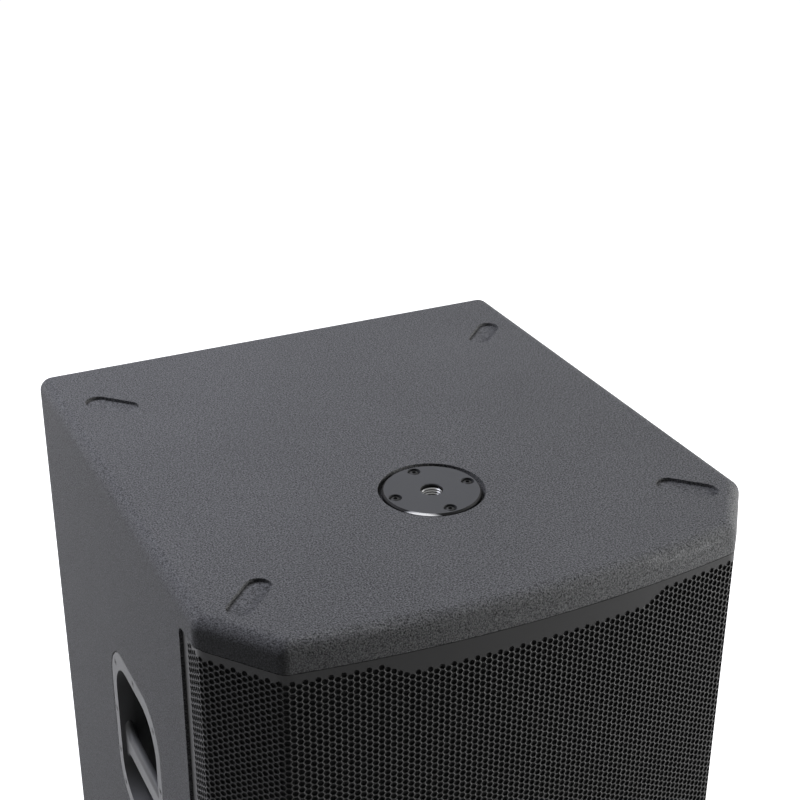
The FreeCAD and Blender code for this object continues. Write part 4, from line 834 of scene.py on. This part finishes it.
def point_cloud(name, places, directions):
    """Loose vertices that carry a direction each."""
    data = bpy.data.meshes.new(name)
    data.from_pydata([tuple(p) for p in places], [], [])
    outward = data.attributes.new("outward", "FLOAT_VECTOR", "POINT")
    for item, direction in zip(outward.data, directions):
        item.vector = direction
    carrier = bpy.data.objects.new(name, data)
    scene.collection.objects.link(carrier)
    return carrier


print("handle screws:", len(loose_boxes("handle_screws")))

# %% The tree: a screw from a folded grid
screw_columns = 37
screw_weld = 0.000005


def choose(tree, index, values):
    """The value in the list at this index, as a field."""
    node = add_node(tree, "GeometryNodeIndexSwitch", data_type="FLOAT")
    for _ in values[2:]:
        node.index_switch_items.new()
    feed(node, dict(enumerate((index, *values))))
    return Field(node.outputs[0])


def folded_screw(tree, given):
    """A screw's skin: the rows of a grid run from the floor of its recess, over the head, to its tip."""
    x, y, _ = position(tree)
    angle = (x + 0.5) * (2 * math.pi)
    wave = calc("COSINE", angle * given["Lobes"])
    dip = (0.5 - wave * 0.5) * given["Lobe Depth"]
    recess = given["Recess Radius"] * (1.0 - dip)
    head, shank = given["Head Radius"], given["Shank Radius"]
    rise, crown = given["Rise"], given["Crown"]
    top = rise + crown
    recess_floor = top - given["Recess Depth"]
    foot = given["Sink"] * -1.0
    tip = given["Length"] * -1.0
    shoulder = rise + crown * 0.55
    rows = [(0.0, recess_floor), (recess * 0.9, recess_floor), (recess, top), (head * 0.76, shoulder),
            (head * 0.95, rise), (head, rise * 0.75), (head, 0.0), (shank, foot), (shank, tip), (0.0, tip)]
    grid = field(tree, "GeometryNodeMeshGrid", {
        "Size X": 1.0, "Size Y": 1.0, "Vertices X": screw_columns, "Vertices Y": len(rows)})
    row = calc("ROUND", (y + 0.5) * (len(rows) - 1.0))
    radius = choose(tree, row, [r for r, _ in rows])
    height = choose(tree, row, [h for _, h in rows])
    place = join_xyz(tree, radius * calc("COSINE", angle), radius * calc("SINE", angle), height)
    return welded(tree, moved(tree, grid, place), screw_weld)


def stand_on(tree, given, shape):
    """Copies of the shape on the carrier's points, along their outward direction, spun at random."""
    outward = field(tree, "GeometryNodeInputNamedAttribute", {"Name": "outward"}, data_type="FLOAT_VECTOR")
    upright = field(tree, "FunctionNodeAlignRotationToVector", {"Vector": outward}, axis="Z")
    chance = add_node(tree, "FunctionNodeRandomValue", {"Seed": given["Seed"]}, data_type="FLOAT")
    floats = [socket for socket in chance.inputs if socket.type == "VALUE"]
    floats[0].default_value = 0.0
    floats[1].default_value = 2 * math.pi
    angle = [socket for socket in chance.outputs if socket.type == "VALUE"][0]
    spin = field(tree, "FunctionNodeAxisAngleToRotation", {"Axis": (0, 0, 1), "Angle": angle})
    turned = field(tree, "FunctionNodeRotateRotation", {"Rotation": upright, "Rotate By": spin},
                   rotation_space="LOCAL")
    return copies(tree, given["Geometry"], shape, Rotation=turned)


def make_screw_tree():
    tree, given, result = new_tree("screw_set", [
        ("Head Radius", "NodeSocketFloat", 0.004), ("Rise", "NodeSocketFloat", 0.002),
        ("Crown", "NodeSocketFloat", 0.0005), ("Sink", "NodeSocketFloat", 0.0),
        ("Recess Radius", "NodeSocketFloat", 0.002), ("Recess Depth", "NodeSocketFloat", 0.0015),
        ("Lobes", "NodeSocketInt", 6), ("Lobe Depth", "NodeSocketFloat", 0.2),
        ("Shank Radius", "NodeSocketFloat", 0.002), ("Length", "NodeSocketFloat", 0.012),
        ("Seed", "NodeSocketInt", 1), ("Material", "NodeSocketMaterial", None)])
    return end_tree(tree, given, result, stand_on(tree, given, folded_screw(tree, given)))


screw_tree = make_screw_tree()
print("tree:", screw_tree.name, "nodes:", len(screw_tree.nodes))

# %% Drive the screws
def face_outwards(piece):
    """Turn every face outwards, and say how much metal the piece holds in cubic millimetres."""
    mesh = bmesh.new()
    mesh.from_mesh(piece.data)
    bmesh.ops.recalc_face_normals(mesh, faces=mesh.faces)
    volume = mesh.calc_volume()
    mesh.to_mesh(piece.data)
    mesh.free()
    return round(volume * 1e9)


def drive_screws(node, axis, sign, **sizes):
    """Replace a CAD node's plain screws with dressed ones of these sizes, on the same seats."""
    head_height = sizes["Rise"] + sizes["Crown"]
    seats = screw_seats(node, axis, sign, head_height)
    low, high = loose_boxes(node)[0]
    cloud = point_cloud(node + "_seats", [s[0] for s in seats], [s[1] for s in seats])
    piece = grow(cloud, screw_tree, node + "_set", Length=high[axis] - low[axis] - head_height,
                 Material=black_steel, **sizes)
    bpy.data.objects.remove(cloud)
    volume = face_outwards(piece)
    smooth_by_angle(piece, 35)
    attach(piece, "cabinet")
    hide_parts(node)
    print(piece.name, len(seats), "screws,", volume, "mm3")


along_x, along_y, along_z = 0, 1, 2
cross = {"Lobes": 4, "Lobe_Depth": 0.62}
star = {"Lobes": 6, "Lobe_Depth": 0.13}
pole_screw = {"Rise": 0.0014, "Crown": 0.0016}
drive_screws("handle_screws", along_x, 0, Rise=0.0, Crown=0.0001, Sink=0.002, Head_Radius=0.0036,
             Shank_Radius=0.0016, Recess_Radius=0.0019, Recess_Depth=0.0013, Seed=3, **cross)
drive_screws("grille_screws", along_x, 0, Rise=0.0005, Crown=0.0003, Sink=0.0, Head_Radius=0.0037,
             Shank_Radius=0.002, Recess_Radius=0.0020, Recess_Depth=0.0010, Seed=5, **cross)
drive_screws("amp_screws", along_y, 1, Rise=0.0014, Crown=0.0010, Sink=0.0, Head_Radius=0.0038,
             Shank_Radius=0.002, Recess_Radius=0.0020, Recess_Depth=0.0016, Seed=7, **cross)
drive_screws("pole_plate_screws", along_z, 1, Sink=0.0, Head_Radius=0.0052, Shank_Radius=0.003,
             Recess_Radius=0.0021, Recess_Depth=0.0018, Seed=9, **pole_screw, **star)
drive_screws("feet_screws", along_z, -1, Rise=0.0018, Crown=0.0012, Sink=0.0, Head_Radius=0.0040,
             Shank_Radius=0.002, Recess_Radius=0.0022, Recess_Depth=0.0018, Seed=11, **cross)
drive_screws("woofer_screws", along_y, -1, Rise=0.0030, Crown=0.0010, Sink=0.0, Head_Radius=0.0048,
             Shank_Radius=0.003, Recess_Radius=0.0026, Recess_Depth=0.0024, Seed=13, **star)

# %% [markdown]
# ## The pole socket
# The socket is a turned steel plate with a boss under it, tapped M20 for a speaker pole. A turned part
# is a profile swept round its axis. The four screw pockets are cut into it, and the thread is a
# ridge that winds down the bore: a diamond swept along a spiral, half of it buried in the wall.

# %% Turn the plate
def spun(name, profile, centre, steps):
    """A closed profile of (radius, z) swept round an upright axis."""
    mesh = bmesh.new()
    rings = []
    for i in range(steps):
        angle = 2 * math.pi * i / steps
        rings.append([mesh.verts.new((centre.x + r * math.cos(angle), centre.y + r * math.sin(angle), z))
                      for r, z in profile])
    for i in range(steps):
        near, far = rings[i], rings[(i + 1) % steps]
        for j in range(len(profile)):
            k = (j + 1) % len(profile)
            mesh.faces.new((near[j], far[j], far[k], near[k]))
    bmesh.ops.remove_doubles(mesh, verts=mesh.verts, dist=0.000001)
    bmesh.ops.recalc_face_normals(mesh, faces=mesh.faces)
    data = bpy.data.meshes.new(name)
    mesh.to_mesh(data)
    mesh.free()
    made = bpy.data.objects.new(name, data)
    scene.collection.objects.link(made)
    return made


def cut_with(piece, cutter):
    """Subtract the cutter and throw it away."""
    modifier = piece.modifiers.new("cut", "BOOLEAN")
    modifier.object = cutter
    modifier.solver = "EXACT"
    view = bpy.context.evaluated_depsgraph_get()
    data = bpy.data.meshes.new_from_object(piece.evaluated_get(view), depsgraph=view)
    piece.modifiers.remove(modifier)
    piece.data = data
    bpy.data.objects.remove(cutter)


plate_low, plate_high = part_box("pole_plate")
plate_centre = (plate_low + plate_high) / 2
plate_radius = (plate_high.x - plate_low.x) / 2
plate_top, boss_end = plate_high.z, plate_low.z
plate_bottom = plate_top - 0.006
plate_edge = 0.0016
boss_radius = 0.017
thread_root = 0.0100
thread_pitch = 0.0025
mouth_bevel = 0.0011
pocket_radius = 0.00625
screw_hole_radius = 0.0031
screw_hole_depth = 0.02
past = 0.002                    # how far a cutter stands out of what it cuts
plate_profile = [(thread_root, boss_end), (boss_radius, boss_end), (boss_radius, plate_bottom),
                 (plate_radius, plate_bottom), (plate_radius, plate_top - plate_edge),
                 (plate_radius - plate_edge, plate_top), (thread_root + mouth_bevel, plate_top),
                 (thread_root, plate_top - mouth_bevel)]
pole_plate = spun("pole_socket_plate", plate_profile, plate_centre, 96)
for seat, _ in screw_seats("pole_plate_screws", along_z, 1, sum(pole_screw.values())):
    hole_end = seat.z - screw_hole_depth
    wall = [(0.0, hole_end), (screw_hole_radius, hole_end), (screw_hole_radius, seat.z),
            (pocket_radius, seat.z), (pocket_radius, plate_top + past), (0.0, plate_top + past)]
    cut_with(pole_plate, spun("pocket", wall, seat, 32))
print("pole plate faces:", len(pole_plate.data.polygons), "volume:", face_outwards(pole_plate), "mm3")

# %% Wind the thread
def make_thread_tree():
    tree, given, result = new_tree("screw_thread", [
        ("Radius", "NodeSocketFloat", 0.01), ("Pitch", "NodeSocketFloat", 0.0025),
        ("Length", "NodeSocketFloat", 0.03), ("Ridge", "NodeSocketFloat", 0.0012),
        ("Material", "NodeSocketMaterial", None)])
    spiral = field(tree, "GeometryNodeCurveSpiral", {
        "Resolution": 40, "Rotations": given["Length"] / given["Pitch"], "Start Radius": given["Radius"],
        "End Radius": given["Radius"], "Height": given["Length"]})
    level = field(tree, "GeometryNodeSetCurveNormal", {"Curve": spiral}, mode="Z_UP")
    ridge = field(tree, "GeometryNodeCurveToMesh", {
        "Curve": level, "Profile Curve": circle(tree, 4, given["Ridge"]), "Fill Caps": True})
    return end_tree(tree, given, result, copies(tree, given["Geometry"], ridge))


thread_foot, thread_headroom = 0.0015, 0.0037       # plain bore below and above the ridge
thread_length = plate_top - boss_end - thread_foot - thread_headroom
bore_mouth = Vector((plate_centre.x, plate_centre.y, boss_end + thread_foot))
mouth_cloud = point_cloud("bore_mouth", [bore_mouth], [Vector((0, 0, 1))])
thread = grow(mouth_cloud, make_thread_tree(), "pole_socket_thread", Radius=thread_root,
              Pitch=thread_pitch, Length=thread_length, Ridge=0.0010, Material=thread_steel)
bpy.data.objects.remove(mouth_cloud)
face_outwards(thread)
print("thread faces:", len(thread.data.polygons))

# %% [markdown]
# One side of the plate's bevelled rim, towards the front left, is a painted glint of bright bare
# steel. The rest of the rim and the bore are painted near black, a painted shade under their own
# edges. Both are drawn from a point's distance to the plate's axis, which needs no unwrapping,
# and a Mapping node moves the origin onto that axis.

# %% Finish of the pole plate
# painted glint: bright bare steel on the rim, on the side that faces this way
glint_way = Vector((-0.60, -0.80))
glint_from, glint_to = 0.92, 0.975        # shares of the radius that way
glint_steel = (0.75, 0.76, 0.78, 1)


def make_plate_finish():
    """Satin paint on the face, painted shade in the bore and on the rim, a painted glint of steel on one side
    of the rim.
    """
    material = finish("socket_plate_finish", shade(0.088, 0.02), shade(0.10, 0.02), rough=0.5,
                      spread=0.08, grain=700, patch=20, specular=0.12)
    tree = material.node_tree
    drift = tree.nodes["Group"].outputs
    place = add_node(tree, "ShaderNodeTexCoord").outputs["Object"]
    to_axis = (-plate_centre.x, -plate_centre.y, -plate_top)
    x, y, _ = split(field(tree, "ShaderNodeMapping", {"Vector": place, "Location": to_axis}))
    radius = calc("SQRT", x * x + y * y)
    towards = (x * glint_way.x + y * glint_way.y) / plate_radius
    glint_side = field(tree, "ShaderNodeMapRange", {
        "Value": towards, "From Min": glint_from, "From Max": glint_to})
    on_rim = calc("GREATER_THAN", radius, plate_radius - plate_edge - 0.0001)
    in_bore = calc("LESS_THAN", radius, thread_root + 0.0006)
    painted_glint = glint_side * on_rim
    # painted shade: the rim and the bore are painted near black
    painted = mix_colours(tree, on_rim + in_bore, drift["Colour"], (*shade(0.012), 1))
    feed(tree.nodes["Principled BSDF"], {
        "Base Color": mix_colours(tree, painted_glint, painted, glint_steel), "Metallic": painted_glint,
        "Roughness": Field(drift["Roughness"]) - painted_glint * 0.25})
    return material


pole_plate.data.materials.clear()
pole_plate.data.materials.append(make_plate_finish())
for piece in (pole_plate, thread):
    smooth_by_angle(piece, 35)
    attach(piece, "cabinet")
    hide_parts("pole_plate")
print("pole socket:", pole_plate.name, thread.name)

# %% [markdown]
# ## The rear panel's print
# White ink marks the turn of each dial from 0 to 10, and the two ends of the switch. The ticks are one
# bar stood on the points of an arc, and that arc is stood once on each dial. Numbers are text
# objects made into a mesh. The ink is given a twentieth of a millimetre, so it lies on the paint.

# %% The tree: dial ticks
def make_dial_tree():
    """Bars on an arc, once on each dial. Right is -X on the rear panel, and up stays up."""
    tree, given, result = new_tree("dial_ticks", [
        ("Tick Count", "NodeSocketInt", 11), ("Ring Radius", "NodeSocketFloat", 0.013),
        ("Tick Length", "NodeSocketFloat", 0.003), ("Tick Width", "NodeSocketFloat", 0.0005),
        ("Ink Height", "NodeSocketFloat", 0.00005), ("Start Angle", "NodeSocketFloat", 0.0),
        ("Sweep", "NodeSocketFloat", 4.0), ("Material", "NodeSocketMaterial", None)])
    arc = field(tree, "GeometryNodeCurveArc", {
        "Resolution": given["Tick Count"], "Radius": given["Ring Radius"],
        "Start Angle": given["Start Angle"], "Sweep Angle": given["Sweep"]}, mode="RADIUS")
    stops = field(tree, "GeometryNodeCurveToPoints", {"Curve": arc}, "Points", mode="EVALUATED")
    outward = field(tree, "FunctionNodeAlignRotationToVector", {
        "Vector": field(tree, "GeometryNodeInputPosition")}, axis="X")
    size = join_xyz(tree, given["Tick Length"], given["Tick Width"], given["Ink Height"])
    bar = field(tree, "GeometryNodeMeshCube", {"Size": size})
    ring = copies(tree, stops, bar, Rotation=outward)
    on_panel = (math.radians(90), 0, math.radians(180))
    return end_tree(tree, given, result, copies(tree, given["Geometry"], ring, Rotation=on_panel))


print_ink = finish("panel_ink", shade(0.62), shade(0.70), rough=0.6, grain=900, patch=40, share=0.4,
                   relief=0.00001)
ink = 0.00005
panel_thickness = 0.003
panel_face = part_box("amp_panel")[0].y + panel_thickness
top_mark = 10
knobs = {name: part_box(name) for name in ("level_knob", "crossover_knob")}
dial_centres = [Vector(((low.x + high.x) / 2, panel_face + ink / 2, (low.z + high.z) / 2))
                for low, high in knobs.values()]
dial_start, dial_sweep = math.radians(-60), math.radians(300)
dial_cloud = point_cloud("dial_centres", dial_centres, [Vector((0, 1, 0))] * 2)
ticks = grow(dial_cloud, make_dial_tree(), "panel_dial_ticks", Tick_Count=top_mark + 1,
             Ring_Radius=0.0135, Tick_Length=0.0026, Tick_Width=0.0005, Ink_Height=ink,
             Start_Angle=dial_start, Sweep=dial_sweep, Material=print_ink)
bpy.data.objects.remove(dial_cloud)
print("ticks:", len(ticks.data.polygons) // 6)

# %% Letters and blocks
on_rear = Matrix(((-1, 0, 0), (0, 0, 1), (0, 1, 0))).to_4x4()


def letter(text, size, place):
    """A text, made a mesh that lies on the rear panel with its middle at the place."""
    data = bpy.data.curves.new("letter", "FONT")
    data.body = text
    data.size = size
    data.align_x = "CENTER"
    data.align_y = "CENTER"
    data.extrude = ink / 2
    data.resolution_u = 3
    carrier = bpy.data.objects.new("letter", data)
    scene.collection.objects.link(carrier)
    view = bpy.context.evaluated_depsgraph_get()
    mesh = bpy.data.meshes.new_from_object(carrier.evaluated_get(view), depsgraph=view)
    bpy.data.objects.remove(carrier)
    mesh.transform(Matrix.Translation(place) @ on_rear)
    return mesh


def block_mesh(low, high):
    """An upright box mesh between two corners."""
    made = bmesh.new()
    bmesh.ops.create_cube(made, size=1)
    fit = Matrix.Translation((low + high) / 2) @ Matrix.Diagonal((*(high - low), 1))
    bmesh.ops.transform(made, matrix=fit, verts=made.verts)
    data = bpy.data.meshes.new("bar")
    made.to_mesh(data)
    made.free()
    return data


def join_meshes(name, meshes, material):
    """One object from these meshes, in one material."""
    whole = bmesh.new()
    for mesh in meshes:
        whole.from_mesh(mesh)
        bpy.data.meshes.remove(mesh)
    bmesh.ops.remove_doubles(whole, verts=whole.verts, dist=0.000001)
    bmesh.ops.recalc_face_normals(whole, faces=whole.faces)
    data = bpy.data.meshes.new(name)
    whole.to_mesh(data)
    whole.free()
    data.materials.append(material)
    for polygon in data.polygons:
        polygon.material_index = 0
    made = bpy.data.objects.new(name, data)
    scene.collection.objects.link(made)
    return made


print("letters lie on the panel at y =", round(panel_face, 4))

# %% [markdown]
# A line of ink on each knob shows where it stands against its dial. It is a thin bar set into the
# knob's face, and it rides on the knob's own body, so it turns with the knob. The numbers stand
# just outside the ticks, and the switch has its two words above and below.

# %% Pointers, numbers and switch marks
pointer_width = 0.0011
pointer_start, pointer_end = 0.0022, 0.0086     # from the knob's axis
pointer_foot, pointer_face = 0.0005, 0.0001     # below the knob's highest point
for name, (low, high) in knobs.items():
    middle = (low + high) / 2
    inlay = block_mesh(
        Vector((middle.x - pointer_width / 2, high.y - pointer_foot, middle.z + pointer_start)),
        Vector((middle.x + pointer_width / 2, high.y - pointer_face, middle.z + pointer_end)))
    pointer = join_meshes(name + "_pointer", [inlay], print_ink)
    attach(pointer, name + "_body")

number_ring, number_size = 0.0178, 0.0042
word_gap, word_size = 0.006, 0.0062
marks = []
for centre in dial_centres:
    for number in range(top_mark + 1):
        angle = dial_start + dial_sweep * (1 - number / top_mark)
        spot = centre + Vector((-math.cos(angle) * number_ring, 0, math.sin(angle) * number_ring))
        marks.append(letter(str(number), number_size, spot))
switch_low, switch_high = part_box("power_switch_housing")
switch_x = (switch_low.x + switch_high.x) / 2
for word, height in (("ON", switch_high.z + word_gap), ("OFF", switch_low.z - word_gap)):
    marks.append(letter(word, word_size, Vector((switch_x, panel_face + ink / 2, height))))
numbers = join_meshes("panel_numbers", marks, print_ink)
for piece in (ticks, numbers):
    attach(piece, "cabinet")
print("numbers:", len(numbers.data.polygons), "faces")
